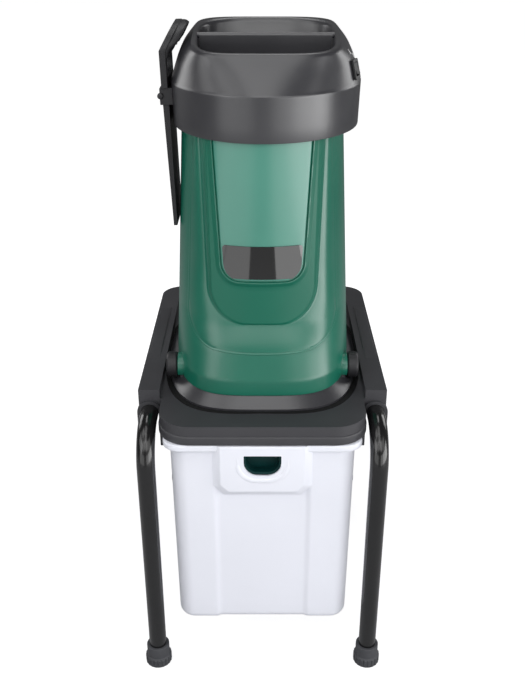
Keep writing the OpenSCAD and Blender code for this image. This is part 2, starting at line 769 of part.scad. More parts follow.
module front_cover() {
    k_max = cover_lines;
    row = 2 * k_max + 1;
    side = u_steps * row + k_max + 1;
    front = concat(
        [for (j = [0:u_steps - 1], k = [-k_max:k_max]) cover_point(k, j)],
        [for (k = [0:k_max]) cover_point(k, u_steps)]);
    function at(k, j) = j < u_steps ? j * row + k + k_max : u_steps * row + abs(k);
    color(green) polyhedron(
        points = concat(front, [for (p = front) p + [0, shell_wall, 0]]),
        faces = concat(
            [for (j = [0:u_steps - 1], k = [-k_max:k_max - 1])
                each [[at(k, j), at(k + 1, j), at(k + 1, j + 1)],
                      [at(k, j), at(k + 1, j + 1), at(k, j + 1)]]],
            [for (j = [0:u_steps - 1], k = [-k_max:k_max - 1])
                each [[side + at(k, j), side + at(k + 1, j + 1), side + at(k + 1, j)],
                      [side + at(k, j), side + at(k, j + 1), side + at(k + 1, j + 1)]]],
            [for (k = [-k_max:k_max - 1])
                each [[at(k, 0), side + at(k, 0), side + at(k + 1, 0)],
                      [at(k, 0), side + at(k + 1, 0), at(k + 1, 0)]]],
            [for (j = [0:u_steps - 1])
                each [[at(k_max, j), side + at(k_max, j), side + at(k_max, j + 1)],
                      [at(k_max, j), side + at(k_max, j + 1), at(k_max, j + 1)]]],
            [for (j = [0:u_steps - 1])
                each [[at(-k_max, j), at(-k_max, j + 1), side + at(-k_max, j + 1)],
                      [at(-k_max, j), side + at(-k_max, j + 1), side + at(-k_max, j)]]]));
}

// Bare plate that follows the curve of the panel
module trim_plate() {
    inset = 1;
    rows = 8;
    cols = 8;
    low = panel_low_z + 3;
    r = panel_u[3];
    corner_z = panel_low_z + panel_u[5] + r;
    function half(z) = panel_low_half_w - inset
        - r + sqrt(max(0, r * r - pow(max(0, corner_z - z), 2)));
    function pt(i, j, y) = let (z = mix(low, low + plate_h, i / rows), x = half(z) * (2 * j / cols - 1))
        [x, core_face(x, z) + groove - y, z];
    row = cols + 1;
    side = (rows + 1) * row;
    color(black) polyhedron(
        points = concat([for (i = [0:rows], j = [0:cols]) pt(i, j, seat_gap + plate_t)],
                        [for (i = [0:rows], j = [0:cols]) pt(i, j, seat_gap)]),
        faces = concat(
            [for (i = [0:rows - 1], j = [0:cols - 1]) let (a = i * row + j)
                each [[a, a + row, a + row + 1], [a, a + row + 1, a + 1]]],
            [for (i = [0:rows - 1], j = [0:cols - 1]) let (a = side + i * row + j)
                each [[a, a + row + 1, a + row], [a, a + 1, a + row + 1]]],
            [for (j = [0:cols - 1]) each [[j, j + 1, side + j + 1], [j, side + j + 1, side + j]]],
            [for (j = [0:cols - 1]) let (a = rows * row + j)
                each [[a, side + a, side + a + 1], [a, side + a + 1, a + 1]]],
            [for (i = [0:rows - 1]) let (a = i * row)
                each [[a, side + a, side + a + row], [a, side + a + row, a + row]]],
            [for (i = [0:rows - 1]) let (a = i * row + cols)
                each [[a, a + row, side + a + row], [a, side + a + row, side + a]]]));
}

module main_housing() {
    low_z = seat_z + 0.3;
    levels = [low_z, band_top_z, step_z, shoulder_z, panel_low_z, mix(panel_low_z, housing_top_z, 0.5),
              housing_top_z];
    window = u_grow(cover_u, seam);
    vent_x = 58;
    vent_low_z = 560;
    vent_pitch = 12;
    color(green) difference() {
        union() {
            difference() {
                skin(concat([for (z = levels) at_z(housing_plan(z, 0), z)],
                            [for (i = [len(levels) - 1:-1:0])
                                at_z(housing_plan(levels[i], shell_wall), levels[i])]));
                // Opening behind the front cover
                rotate([90, 0, 0]) linear_extrude(400)
                    polygon(concat(
                        [[window[0], housing_top_z + 20]], [for (j = [0:u_steps]) u_point(window, j)],
                        [for (j = [u_steps - 1:-1:0]) let (p = u_point(window, j)) [-p[0], p[1]]],
                        [[-window[0], housing_top_z + 20]]));
            }
            intersection() {
                for (s = [-1, 1]) bar_x(boss_d, s > 0 ? boss_in_x : -boss_out_x,
                                        s > 0 ? boss_out_x : -boss_in_x, -clamp_y, clamp_z);
                block([-300, -300, low_z], [300, 300, clamp_z + boss_d]);
            }
            // Middle knuckle of the rear hinge
            bar_x(knuckle_d, -knuckle_l / 2, knuckle_l / 2, hinge_y, hinge_z);
            block([-knuckle_l / 2, housing_low_rear_y - shell_wall, hinge_z - 4],
                  [knuckle_l / 2, hinge_y, hinge_z + 4]);
        }
        for (s = [-1, 1]) {
            block([s > 0 ? lug_in_x - run_gap : -lug_out_x - run_gap, -clamp_y - lug_w / 2 - 1, seat_z - 20],
                  [s > 0 ? lug_out_x + run_gap : -lug_in_x + run_gap, -clamp_y + lug_w / 2 + 1,
                   lug_top_z + run_gap]);
        }
        bar_x(stud_d + 2 * fit, -200, 200, -clamp_y, clamp_z);
        bar_x(hinge_pin_d + 2 * fit, -200, 200, hinge_y, hinge_z);
        // Cooling slots low on the rear wall
        for (k = [0:vent_count - 1], s = [-1, 1]) translate([s * vent_x, 100, vent_low_z + vent_pitch * k])
            rotate([-90, 0, 0]) linear_extrude(120) round_rect(vent_l, vent_h, vent_h / 2 - 0.1);
        at_rear(0) translate([0, 0, -20]) linear_extrude(40) round_rect(inlet_w - 4, inlet_h - 4, 3);
        at_rear(reset_x) translate([0, 0, -20]) cylinder(d = reset_d + 2 * run_gap, h = 40);
    }
}

/* Hood */

feed_slope = (rear_rim_z - lip_z) / (feed_rear_y + feed_front_y);
function rim_z(y) = lip_z + (y + feed_front_y) * feed_slope;
hood_mid = 17;
feed_shift = (hood_right_half_w - hood_left_half_w) / 2;
feed_mid = 30;
function hood_plan(inset) = plan(hood_left_half_w - inset, hood_right_half_w - inset,
    hood_front_y - inset, hood_rear_y - inset, hood_mid, 2.05, 4);
function feed_plan(inset) = plan(feed_half_w - feed_shift - inset, feed_half_w + feed_shift - inset,
    feed_front_y - inset, feed_rear_y - inset, feed_mid, 3, 5);
function on_rim(outline, drop) = [for (p = outline) [p[0], p[1], rim_z(p[1]) - drop]];
// Funnel outline where the hood meets the chute
neck_inset = 14;
neck_z = hood_low_z + 4;
function neck_plan(inset) = plan(feed_half_w - neck_inset - inset, feed_half_w - neck_inset - inset,
    74 - inset, 54 - inset, -10, 5, 5);

// Shoulder of the hood, where its steep sides turn in to the rim
shoulder_at = 0.68;
function hood_shoulder(inset) = [for (p = plan(
    hood_left_half_w - side_draw - inset, hood_right_half_w - side_draw - inset,
    mix(hood_front_y, feed_front_y + rim_w, shoulder_at) - inset,
    mix(hood_rear_y, feed_rear_y + rim_w, shoulder_at) - inset, mix(hood_mid, feed_mid, 0.5), 2.3, 4.5))
    [p[0], p[1], mix(crease_z, rim_z(p[1]), shoulder_at) - 0.6 * inset]];

// Frame of the switch on the hood's steep side, halfway between the crease and the shoulder
switch_k = plan_n - 4;
switch_low = at_z(hood_plan(1), crease_z + 1.5)[switch_k];
switch_high = hood_shoulder(0)[switch_k];
switch_at = (switch_low + switch_high) / 2;
switch_yaw = 19;
switch_pitch = 76.8;
module at_switch() {
    translate(switch_at) rotate([0, 0, -switch_yaw]) rotate([0, switch_pitch, 0]) children();
}

module hood() {
    color(dark) difference() {
        union() {
            skin([at_z(hood_plan(2), hood_low_z), at_z(hood_plan(0), crease_z - 2),
                  at_z(hood_plan(1), crease_z + 1.5), hood_shoulder(0),
                  on_rim(feed_plan(-rim_w), 2.5), on_rim(feed_plan(-rim_w + 3), 0), on_rim(feed_plan(-2), 0),
                  on_rim(feed_plan(0), 2), at_z(neck_plan(0), neck_z), at_z(neck_plan(-hood_wall), neck_z),
                  on_rim(feed_plan(-hood_wall - 1), 4 + hood_wall),
                  on_rim(feed_plan(-rim_w + 3), 2.5 + 2 * hood_wall), hood_shoulder(hood_wall),
                  at_z(hood_plan(1 + hood_wall), crease_z - 3), at_z(hood_plan(2 + hood_wall), hood_low_z)]);
            // Ledge that rests on the upper housing
            translate([0, 0, housing_top_z]) linear_extrude(hood_wall) difference() {
                polygon(hood_plan(hood_wall + 1));
                polygon(housing_plan(housing_top_z, 8));
            }
        }
        at_switch() translate([0, 0, -20]) linear_extrude(60) round_rect(switch_h - 4, switch_w - 4, 2);
    }
}

module feed_guard() {
    top_z = rim_z(0) - guard_drop;
    low_z = neck_z + 18;
    color(dark) intersection() {
        union() {
            translate([-150, -guard_t / 2, low_z]) cube([300, guard_t, top_z - guard_t / 2 - low_z]);
            bar_x(guard_t, -150, 150, 0, top_z - guard_t / 2);
        }
        skin_core(seat_gap);
    }
}

// Space inside the hood's funnel
module skin_core(inset) {
    loft([at_z(neck_plan(inset), neck_z), on_rim(feed_plan(inset), 2)]);
}

/* Feed chute, motor and blades */

plate_low_z = seat_z + 8;
plate_top_z = plate_low_z + motor_plate_t;
slot_y = axis_y - motor_d / 2 - chute_wall - 1.5 - slot_w / 2;

function slot_plan(inset) = plan(slot_l / 2 - inset, slot_l / 2 - inset,
    slot_w / 2 - slot_y - inset, slot_w / 2 + slot_y - inset, slot_y, 8, 8);

module feed_chute() {
    top_z = neck_z - seat_gap;
    color(black) skin([at_z(slot_plan(-chute_wall), plate_top_z), at_z(slot_plan(-chute_wall), chute_neck_z),
        at_z(neck_plan(-chute_wall), top_z), at_z(neck_plan(0), top_z),
        at_z(slot_plan(0), chute_neck_z), at_z(slot_plan(0), plate_top_z)]);
}

module motor_plate() {
    color(alloy) difference() {
        translate([0, 0, plate_low_z]) linear_extrude(motor_plate_t)
            polygon(housing_plan(plate_low_z, shell_wall + seat_gap + 0.8));
        translate([0, slot_y, plate_low_z - 1]) linear_extrude(motor_plate_t + 2)
            square([slot_l, slot_w], center = true);
        translate([0, axis_y, plate_low_z - 1]) cylinder(d = bearing_d - 6, h = motor_plate_t + 2);
        // Corners cut away round the clamp bosses
        for (s = [-1, 1]) block([s > 0 ? boss_in_x - 8 : -160, -clamp_y - 30, plate_low_z - 1],
                                [s > 0 ? 160 : 8 - boss_in_x, -clamp_y + 30, plate_top_z + 1]);
    }
}

motor_top_z = plate_top_z + motor_h;
module motor_can() {
    color(steel) translate([0, axis_y, plate_top_z]) difference() {
        union() {
            cylinder(d = motor_d, h = motor_h);
            translate([0, 0, motor_h - eps]) cylinder(d = bearing_d + 10, h = 8);
        }
        translate([0, 0, bearing_w + 4])
            cylinder(d = motor_d - 2 * motor_wall, h = motor_h - bearing_w - 12);
        translate([0, 0, -1]) cylinder(d = bearing_d + 2 * fit, h = bearing_w + 1);
        translate([0, 0, motor_h + 5 - bearing_w]) cylinder(d = bearing_d + 2 * fit, h = bearing_w);
        cylinder(d = shaft_d + 6, h = motor_h + 20);
        for (k = [0:7]) rotate(45 * k) translate([motor_d / 2 - 16, -4, motor_h - 9]) cube([10, 8, 12]);
    }
}

stator_low = 44;
module stator_core() {
    color(steel) translate([0, axis_y, plate_top_z + stator_low]) difference() {
        cylinder(d = motor_d - 2 * motor_wall - 2 * seat_gap, h = armature_h - 4);
        translate([0, 0, -1]) cylinder(d = armature_d + 2 * run_gap, h = armature_h);
    }
}

module bearing(z) {
    color(steel) translate([0, axis_y, z]) difference() {
        cylinder(d = bearing_d, h = bearing_w);
        translate([0, 0, -1]) cylinder(d = shaft_d + 2 * fit, h = bearing_w + 2);
        for (e = [-1, bearing_w - 1]) translate([0, 0, e]) difference() {
            cylinder(d = bearing_d - 6, h = 2);
            translate([0, 0, -1]) cylinder(d = shaft_d + 7, h = 4);
        }
    }
}
module bearing_lower() { bearing(plate_top_z); }
module bearing_upper() { bearing(motor_top_z + 5 - bearing_w); }

disc_low_z = seat_z - 18;
disc_top_z = disc_low_z + disc_t;
module rotor_shaft() {
    color(steel) translate([0, axis_y, 0]) {
        translate([0, 0, disc_low_z]) cylinder(d = shaft_d, h = motor_top_z + 4 - disc_low_z);
        translate([0, 0, plate_top_z + stator_low - 2]) cylinder(d = armature_d, h = armature_h);
        translate([0, 0, plate_top_z + stator_low + armature_h + 6]) cylinder(d = 30, h = 16);
    }
}

module cooling_fan() {
    low_z = plate_top_z + bearing_w + 6;
    fan_r = motor_d / 2 - motor_wall - 3;
    color(black) translate([0, axis_y, low_z]) difference() {
        union() {
            cylinder(r = fan_r, h = 3);
            cylinder(d = shaft_d + 10, h = 16);
            for (k = [0:9]) rotate(36 * k) translate([shaft_d / 2 + 3, -1, 0])
                cube([fan_r - shaft_d / 2 - 4, 2, 16]);
        }
        translate([0, 0, -1]) cylinder(d = shaft_d + 2 * fit, h = 20);
    }
}

module at_blades() {
    for (k = [0, 180]) translate([0, axis_y, 0]) rotate(k) translate([disc_r - 6 - blade_l / 2, 0, 0])
        children();
}

module blade_disc() {
    color(steel) difference() {
        union() {
            translate([0, axis_y, disc_low_z]) cylinder(r = disc_r, h = disc_t);
            translate([0, axis_y, disc_low_z]) cylinder(d = 46, h = disc_t + 9);
        }
        translate([0, axis_y, disc_low_z - 1]) cylinder(d = shaft_d + 2 * fit, h = 30);
        // Slots through which the chips fall
        at_blades() translate([0, -blade_w / 2 - 8, disc_low_z - 1]) linear_extrude(disc_t + 2)
            round_rect(blade_l - 6, 14, 6.5);
        at_blades() for (s = [-1, 1]) translate([s * blade_l / 4, 0, disc_low_z - 1])
            cylinder(d = blade_screw_d + 2 * fit, h = disc_t + 2);
    }
}

module blades() {
    color(alloy) at_blades() difference() {
        translate([0, 0, disc_top_z]) rotate([90, 0, 90]) linear_extrude(blade_l, center = true)
            polygon([[-blade_w / 2, blade_t], [-blade_w / 2 + 7, 0],
                     [blade_w / 2 - 7, 0], [blade_w / 2, blade_t]]);
        for (s = [-1, 1]) translate([s * blade_l / 4, 0, disc_top_z - 1]) {
            cylinder(d = blade_screw_d + 2 * fit, h = blade_t + 2);
            translate([0, 0, blade_t - 2]) cylinder(d = 2 * blade_screw_d + 1, h = 5);
        }
    }
}

module blade_screws() {
    color(steel) at_blades() for (s = [-1, 1]) translate([s * blade_l / 4, 0, 0]) difference() {
        union() {
            translate([0, 0, disc_low_z - 4]) cylinder(d = blade_screw_d, h = disc_t + blade_t + 3);
            translate([0, 0, disc_top_z + blade_t - 3 + seat_gap]) cylinder(d = 2 * blade_screw_d, h = 2.6);
        }
        translate([0, 0, disc_top_z + blade_t - 2]) cylinder(d = blade_screw_d * 0.7, h = 6, $fn = 6);
    }
}

module disc_bolt() {
    color(steel) translate([0, axis_y, disc_low_z - 8]) {
        cylinder(d = 18, h = 8 - seat_gap, $fn = 6);
        translate([0, 0, 5 - seat_gap]) cylinder(d = 30, h = 3);
    }
}

// Fixed edge at the end of the feed slot that the blades cut against
module counter_blade() {
    low_z = disc_top_z + blade_t + run_gap + 1;
    w = 12;
    h = plate_low_z - low_z;
    color(alloy) translate([slot_l / 2, slot_y, low_z]) rotate([90, 0, 0])
        linear_extrude(slot_w - 4, center = true)
        polygon([[0, h], [0, 2], [3, 0], [w, 0], [w, h]]);
}

/* Clamp knobs */

module clamp_knob(side) {
    color(black) translate([side * (boss_out_x + run_gap), -clamp_y, clamp_z]) rotate([0, side * 90, 0])
    difference() {
        rotate_extrude() polygon([
            [0, 0], [knob_d / 2 - 2, 0], [knob_d / 2, 2], [knob_d / 2, knob_h - 3],
            [knob_d / 2 - 3, knob_h], [0, knob_h]]);
        translate([0, 0, -1]) cylinder(d = stud_d + 2 * fit, h = knob_h - 3);
    }
}
module knob_left() { clamp_knob(-1); }
module knob_right() { clamp_knob(1); }

module clamp_stud(side) {
    in_x = boss_in_x - 2;
    color(steel) translate([side * in_x, -clamp_y, clamp_z]) rotate([0, side * 90, 0])
        cylinder(d = stud_d, h = boss_out_x + run_gap + knob_h - 5 - in_x);
}
module clamp_stud_left() { clamp_stud(-1); }
module clamp_stud_right() { clamp_stud(1); }

/* Collection box */

rim_top_z = apron_low_z - run_gap;
rim_low_z = rim_top_z - rim_h;
lock_z = rim_top_z - 32;
lock_tongue_w = 34;
lock_tongue_t = 4;
lock_tongue_y = -box_front_y + 6;
lock_face_y = -box_front_y - lock_house_out;
pocket_back_y = -box_front_y + 12;

function arc_points(cx, cy, r, a0) =
    [for (k = [0:5]) let (a = a0 + 18 * k) [cx + r * cos(a), cy + r * sin(a)]];
function box_plan(half, front, rear, r, dent) = concat(
    arc_points(-half + r, -front + r, r, 180),
    [[-recess_half_w - 2.5 * recess_depth, -front], [-recess_half_w, -front + dent],
     [recess_half_w, -front + dent], [recess_half_w + 2.5 * recess_depth, -front]],
    arc_points(half - r, -front + r, r, 270), arc_points(half - r, rear - r, r, 0),
    arc_points(-half + r, rear - r, r, 90));
function box_ring(z, inset, dent) =
    let (t = (z - box_low_z) / (rim_low_z - box_low_z))
    at_z(box_plan(mix(box_low_half_w, box_top_half_w, t) - inset,
                  box_front_y - box_end_taper * (1 - t) - inset, box_rear_y - box_end_taper * (1 - t) - inset,
                  box_corner_r - min(inset, box_floor_r), dent), z);
function box_rim(z, side, front, rear) = at_z(box_plan(box_top_half_w + side, box_front_y + front,
    box_rear_y + rear, box_corner_r + min(side, rear), 0), z);

house_low_z = rim_top_z - lock_house_h;
module collection_box() {
    recess_top_z = house_low_z + 6;
    color(white) difference() {
            loft(concat(
                [for (a = [0:30:90]) let (i = box_floor_r * (1 - sin(a)))
                    box_ring(box_low_z + box_floor_r * (1 - cos(a)), i, recess_depth)],
                [box_ring(recess_top_z, 0, recess_depth), box_ring(recess_top_z + recess_depth, 0, 0),
                 box_ring(rim_low_z, 0, 0), box_rim(rim_low_z + 1, rim_out - 1, rim_front_out - 1, 0),
                 box_rim(rim_low_z + 2, rim_out, rim_front_out, 0),
                 box_rim(rim_top_z - 1.5, rim_out, rim_front_out, 0),
                 box_rim(rim_top_z, rim_out - 1.5, rim_front_out - 1.5, -1.5),
                 box_rim(rim_top_z, -box_wall + 1, -box_wall + 1, -box_wall + 1),
                 box_ring(rim_low_z, box_wall, 0), box_ring(recess_top_z + recess_depth + 1, box_wall, 0),
                 box_ring(recess_top_z + 1, box_wall, recess_depth)],
                [for (a = [90:-30:0]) let (i = box_floor_r * (1 - sin(a)))
                    box_ring(box_low_z + box_wall + box_floor_r * (1 - cos(a)), box_wall + i,
                             recess_depth)]));
        lock_house_form(seat_gap);
    }
}

// Housing round the lock, with cut lower corners, set into the box's front wall
module lock_house_form(grow) {
    w = lock_house_half_w + grow;
    low = house_low_z - grow;
    cut = 12;
    translate([0, pocket_back_y + box_wall, 0]) rotate([90, 0, 0])
        linear_extrude(pocket_back_y + box_wall - lock_face_y)
        polygon([[-w, rim_top_z + 2 * grow], [-w, low + cut], [-w + cut, low], [w - cut, low], [w, low + cut],
                 [w, rim_top_z + 2 * grow]]);
}

module lock_housing() {
    color(white) difference() {
        lock_house_form(0);
        lock_pocket();
    }
}

// Finger opening, the room in which the lock slides and the way for its tongue
module lock_pocket() {
    translate([0, lock_face_y + 3, 0]) rotate([90, 0, 0]) translate([0, 0, -1]) linear_extrude(6)
        lock_outline(lock_w, lock_h, lock_z - lock_h / 2 - 1);
    low = lock_z - lock_h / 2 - lock_down - run_gap - 1;
    high = lock_z + lock_h / 2 + lock_up + run_gap;
    block([-lock_w / 2 - 5, lock_face_y + 3, low], [lock_w / 2 + 5, pocket_back_y, high]);
    block([-lock_tongue_w / 2 - run_gap, lock_tongue_y - lock_tongue_t / 2 - run_gap, high - 1],
          [lock_tongue_w / 2 + run_gap, lock_tongue_y + lock_tongue_t / 2 + run_gap, rim_top_z + 5]);
}

// D shape that is flat on top
module lock_outline(w, h, low) {
    r = h * 0.62;
    translate([-w / 2, low + r]) square([w, h - r]);
    translate([-w / 2 + r, low]) square([w - 2 * r, h]);
    for (s = [-1, 1]) translate([s * (w / 2 - r), low + r]) circle(r);
}

module box_lock() {
    back_y = pocket_back_y - run_gap;
    front_y = lock_face_y + 3 + run_gap;
    low = lock_z - lock_h / 2;
    high = lock_z + lock_h / 2;
    color(green) difference() {
        union() {
            block([-lock_w / 2 - 4, front_y, low], [lock_w / 2 + 4, back_y, high]);
            block([-lock_tongue_w / 2, lock_tongue_y - lock_tongue_t / 2, high - 1],
                  [lock_tongue_w / 2, lock_tongue_y + lock_tongue_t / 2, rim_top_z]);
        }
        translate([0, back_y - 4, 0]) rotate([90, 0, 0]) linear_extrude(40)
            lock_outline(lock_w - 6, lock_h - 8, low + 4);
    }
}

/* Plunger */

holder_gap = 1.6;
plunger_in_x = hood_left_half_w + holder_gap;
holder_top_z = holder_low_z + holder_h;
// Frame of the hanging plunger: its inner face at the holder's height, leaning outwards
module at_plunger() {
    translate([-plunger_in_x, 0, holder_top_z]) rotate([0, -plunger_lean, 0])
        translate([0, 0, -holder_top_z]) children();
}

module plunger() {
    front = -plunger_front_y;
    rear = front + plunger_w;
    ledge_z = holder_top_z + 0.3;
    bend_z = ledge_z + grip_h;
    top_z = bend_z + grip_arch;
    reach = grip_arch * tan(grip_lean);
    grip_front = front - grip_out;
    grip_rear = rear + grip_out;
    peak = mix(grip_front, grip_rear, 0.69);
    color(black) at_plunger() intersection() {
        difference() {
            translate([reach + 1, 0, 0]) rotate([90, 0, -90])
                    linear_extrude(plunger_t + reach + 2) difference() {
                union() {
                    translate([-rear, plunger_low_z]) square([plunger_w, ledge_z - plunger_low_z + 1]);
                    translate([-grip_rear, ledge_z]) square([grip_rear - grip_front, grip_h]);
                    // The arch is flatter towards the front
                    polygon(concat(
                        [for (a = [0:6:90])
                            [-peak + (peak - grip_front) * cos(a), bend_z - eps + grip_arch * sin(a)]],
                        [for (a = [90:6:180])
                            [-peak + (grip_rear - peak) * cos(a), bend_z - eps + grip_arch * sin(a)]]));
                }
                // Hand hole
                translate([-(front + rear) / 2, ledge_z + 0.5 * grip_h])
                    round_rect(plunger_w - 18, grip_h / 2, grip_h / 4 - 0.1);
            }
            // Shallow panels between the blade's ribs
            for (k = [0:2]) translate([-plunger_t - 1, mix(front, rear, (k + 0.5) / 3), 0])
                block([0, -plunger_w / 6 + 3, plunger_low_z + 10], [4, plunger_w / 6 - 3, holder_low_z - 10]);
        }
        // The blade thins towards its foot, and the arch leans in
        rotate([90, 0, 0]) linear_extrude(2 * (plunger_w + plunger_front_y), center = true) polygon([
            [0, plunger_low_z - 1], [-plunger_foot_t, plunger_low_z - 1], [-plunger_t, holder_low_z],
            [-plunger_t, bend_z], [-plunger_t + reach, top_z], [reach, top_z], [0, bend_z]]);
    }
}

module plunger_holder() {
    front = -plunger_front_y;
    rear = front + plunger_w;
    out = plunger_t + run_gap + holder_wall;
    color(black) difference() {
        at_plunger() difference() {
            block([-out, front - run_gap - holder_wall, holder_low_z],
                  [18, rear + run_gap + holder_wall, holder_top_z]);
            block([-plunger_t - run_gap, front - run_gap, holder_low_z - 1],
                  [run_gap, rear + run_gap, holder_top_z + 1]);
            block([0, front + 12, holder_low_z - 1], [30, rear - 12, holder_top_z + 1]);
        }
        hood_body(-seat_gap);
    }
}

// The hood's outer form below its crease, drawn in by an inset
module hood_body(inset) {
    loft([at_z(hood_plan(2 + inset), hood_low_z - 1), at_z(hood_plan(inset), crease_z)]);
}

/* Switch, inlet and reset button */

reset_x = 40;
rear_lean = atan((housing_low_rear_y - housing_top_rear_y) / (housing_top_z - seat_z));
// Frame on the rear wall at the inlet's height, looking outwards
module at_rear(x) {
    translate([x, housing_rear(inlet_z), inlet_z]) rotate([rear_lean - 90, 0, 0]) children();
}

rocker_l = switch_h - 10;
rocker_w = switch_w - 10;
rocker_z = -3;
pivot_d = 4;
module switch_housing() {
    color(black) at_switch() difference() {
        union() {
            translate([0, 0, 1]) linear_extrude(2.5) round_rect(switch_h, switch_w, 3);
            translate([0, 0, -14]) linear_extrude(16) round_rect(switch_h - 5, switch_w - 5, 1.5);
        }
        translate([0, 0, -10]) linear_extrude(30)
            square([rocker_l + 2 * run_gap, rocker_w + 2 * run_gap], center = true);
        translate([0, 0, rocker_z]) rotate([90, 0, 0])
            cylinder(d = pivot_d + 2 * fit, h = rocker_w + 6, center = true);
    }
}

module switch_rocker() {
    e = rocker_l / 2 - 1;
    color(black) at_switch() translate([0, 0, rocker_z]) rotate([0, -rocker_tilt, 0]) rotate([90, 0, 0]) {
        linear_extrude(rocker_w, center = true)
            polygon([[-e, 0], [0, -3], [e, 0], [e, 7.5], [0, 6], [-e, 7.5]]);
        cylinder(d = pivot_d, h = rocker_w + 5, center = true);
    }
}

module power_inlet() {
    body_w = inlet_w - 4 - 3 * seat_gap;
    body_h = inlet_h - 4 - 3 * seat_gap;
    color(black) at_rear(0) difference() {
        union() {
            translate([0, 0, 0.5]) linear_extrude(3) round_rect(inlet_w + 6, inlet_h + 6, 4);
            translate([0, 0, -22]) linear_extrude(24) round_rect(body_w, body_h, 3);
        }
        translate([0, 0, -18]) linear_extrude(30) round_rect(body_w - 4.4, body_h - 4.4, 3);
    }
}

module reset_button() {
    color("firebrick") at_rear(reset_x) {
        translate([0, 0, -8]) cylinder(d = reset_d, h = 8 + reset_travel + 1.5);
        translate([0, 0, -10]) cylinder(d = reset_d + 4, h = 2);
    }
}

base_deck();
leg_tube_left();
leg_tube_right();
foot_left();
foot_right();
wheel_axle();
axle_caps();
wheel_left();
wheel_right();
box_interlock();
lower_housing();
hinge_pin();
main_housing();
front_cover();
trim_plate();
hood();
feed_guard();
feed_chute();
motor_plate();
motor_can();
stator_core();
bearing_lower();
bearing_upper();
rotor_shaft();
cooling_fan();
blade_disc();
blades();
blade_screws();
disc_bolt();
counter_blade();
knob_left();
knob_right();
clamp_stud_left();
clamp_stud_right();
collection_box();
lock_housing();
box_lock();
plunger();
plunger_holder();
switch_housing();
switch_rocker();
power_inlet();
reset_button();
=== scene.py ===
import json
import math
from contextlib import contextmanager
import bpy
import bmesh
from mathutils import Matrix, Vector
from mathutils.bvhtree import BVHTree

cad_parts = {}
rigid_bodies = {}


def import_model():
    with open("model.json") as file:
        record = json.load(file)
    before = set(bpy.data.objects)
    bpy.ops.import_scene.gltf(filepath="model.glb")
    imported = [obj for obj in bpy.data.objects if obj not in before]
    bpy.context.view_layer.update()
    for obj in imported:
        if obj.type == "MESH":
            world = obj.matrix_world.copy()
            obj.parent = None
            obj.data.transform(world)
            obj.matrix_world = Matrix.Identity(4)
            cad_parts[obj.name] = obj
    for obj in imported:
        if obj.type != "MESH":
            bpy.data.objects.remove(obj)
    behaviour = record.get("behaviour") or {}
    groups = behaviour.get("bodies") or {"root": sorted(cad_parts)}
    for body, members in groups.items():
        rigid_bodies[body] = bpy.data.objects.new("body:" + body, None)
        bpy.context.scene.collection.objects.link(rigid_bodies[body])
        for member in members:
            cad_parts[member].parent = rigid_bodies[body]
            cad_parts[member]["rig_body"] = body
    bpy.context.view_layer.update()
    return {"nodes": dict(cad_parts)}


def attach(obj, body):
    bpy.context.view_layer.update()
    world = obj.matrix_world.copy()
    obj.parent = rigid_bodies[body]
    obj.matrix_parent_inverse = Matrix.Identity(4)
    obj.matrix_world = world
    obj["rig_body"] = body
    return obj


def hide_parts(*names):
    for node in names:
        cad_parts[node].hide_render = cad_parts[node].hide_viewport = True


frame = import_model()
nodes = frame["nodes"]
scene = bpy.context.scene
mm = 0.001
print("frame loaded,", len(nodes), "nodes")

# camera at the photograph's height and tilt
camera = {"at": (0.0, -1.350, 1.133), "tiltDown": 26.4, "focalPixels": 880.0, "imageWidth": 525.0,
          "imageHeight": 700.0, "sensor": 36.0, "farClip": 40.0}
cameraData = bpy.data.cameras.new("frontCamera")
cameraData.sensor_width = camera["sensor"]
cameraData.lens = camera["sensor"] * camera["focalPixels"] / camera["imageHeight"]
cameraData.clip_end = camera["farClip"]
cameraObject = bpy.data.objects.new("frontCamera", cameraData)
cameraObject.location = camera["at"]
cameraObject.rotation_euler = (math.radians(90 - camera["tiltDown"]), 0, 0)
scene.collection.objects.link(cameraObject)
scene.camera = cameraObject
print("camera set")


def srgb(r, g, b):
    def linear(v):
        v /= 255
        return v / 12.92 if v <= 0.04045 else ((v + 0.055) / 1.055) ** 2.4
    return (linear(r), linear(g), linear(b), 1.0)


def setSockets(node, values):
    for name, value in values.items():
        node.inputs[name].default_value = value


def addNode(tree, kind, values=None, **fields):
    made = tree.nodes.new("ShaderNode" + kind)
    for name, value in fields.items():
        setattr(made, name, value)
    setSockets(made, values or {})
    return made


def join(tree, *links):
    for source, socket, target, into in links:
        tree.links.new(source.outputs[socket], target.inputs[into])


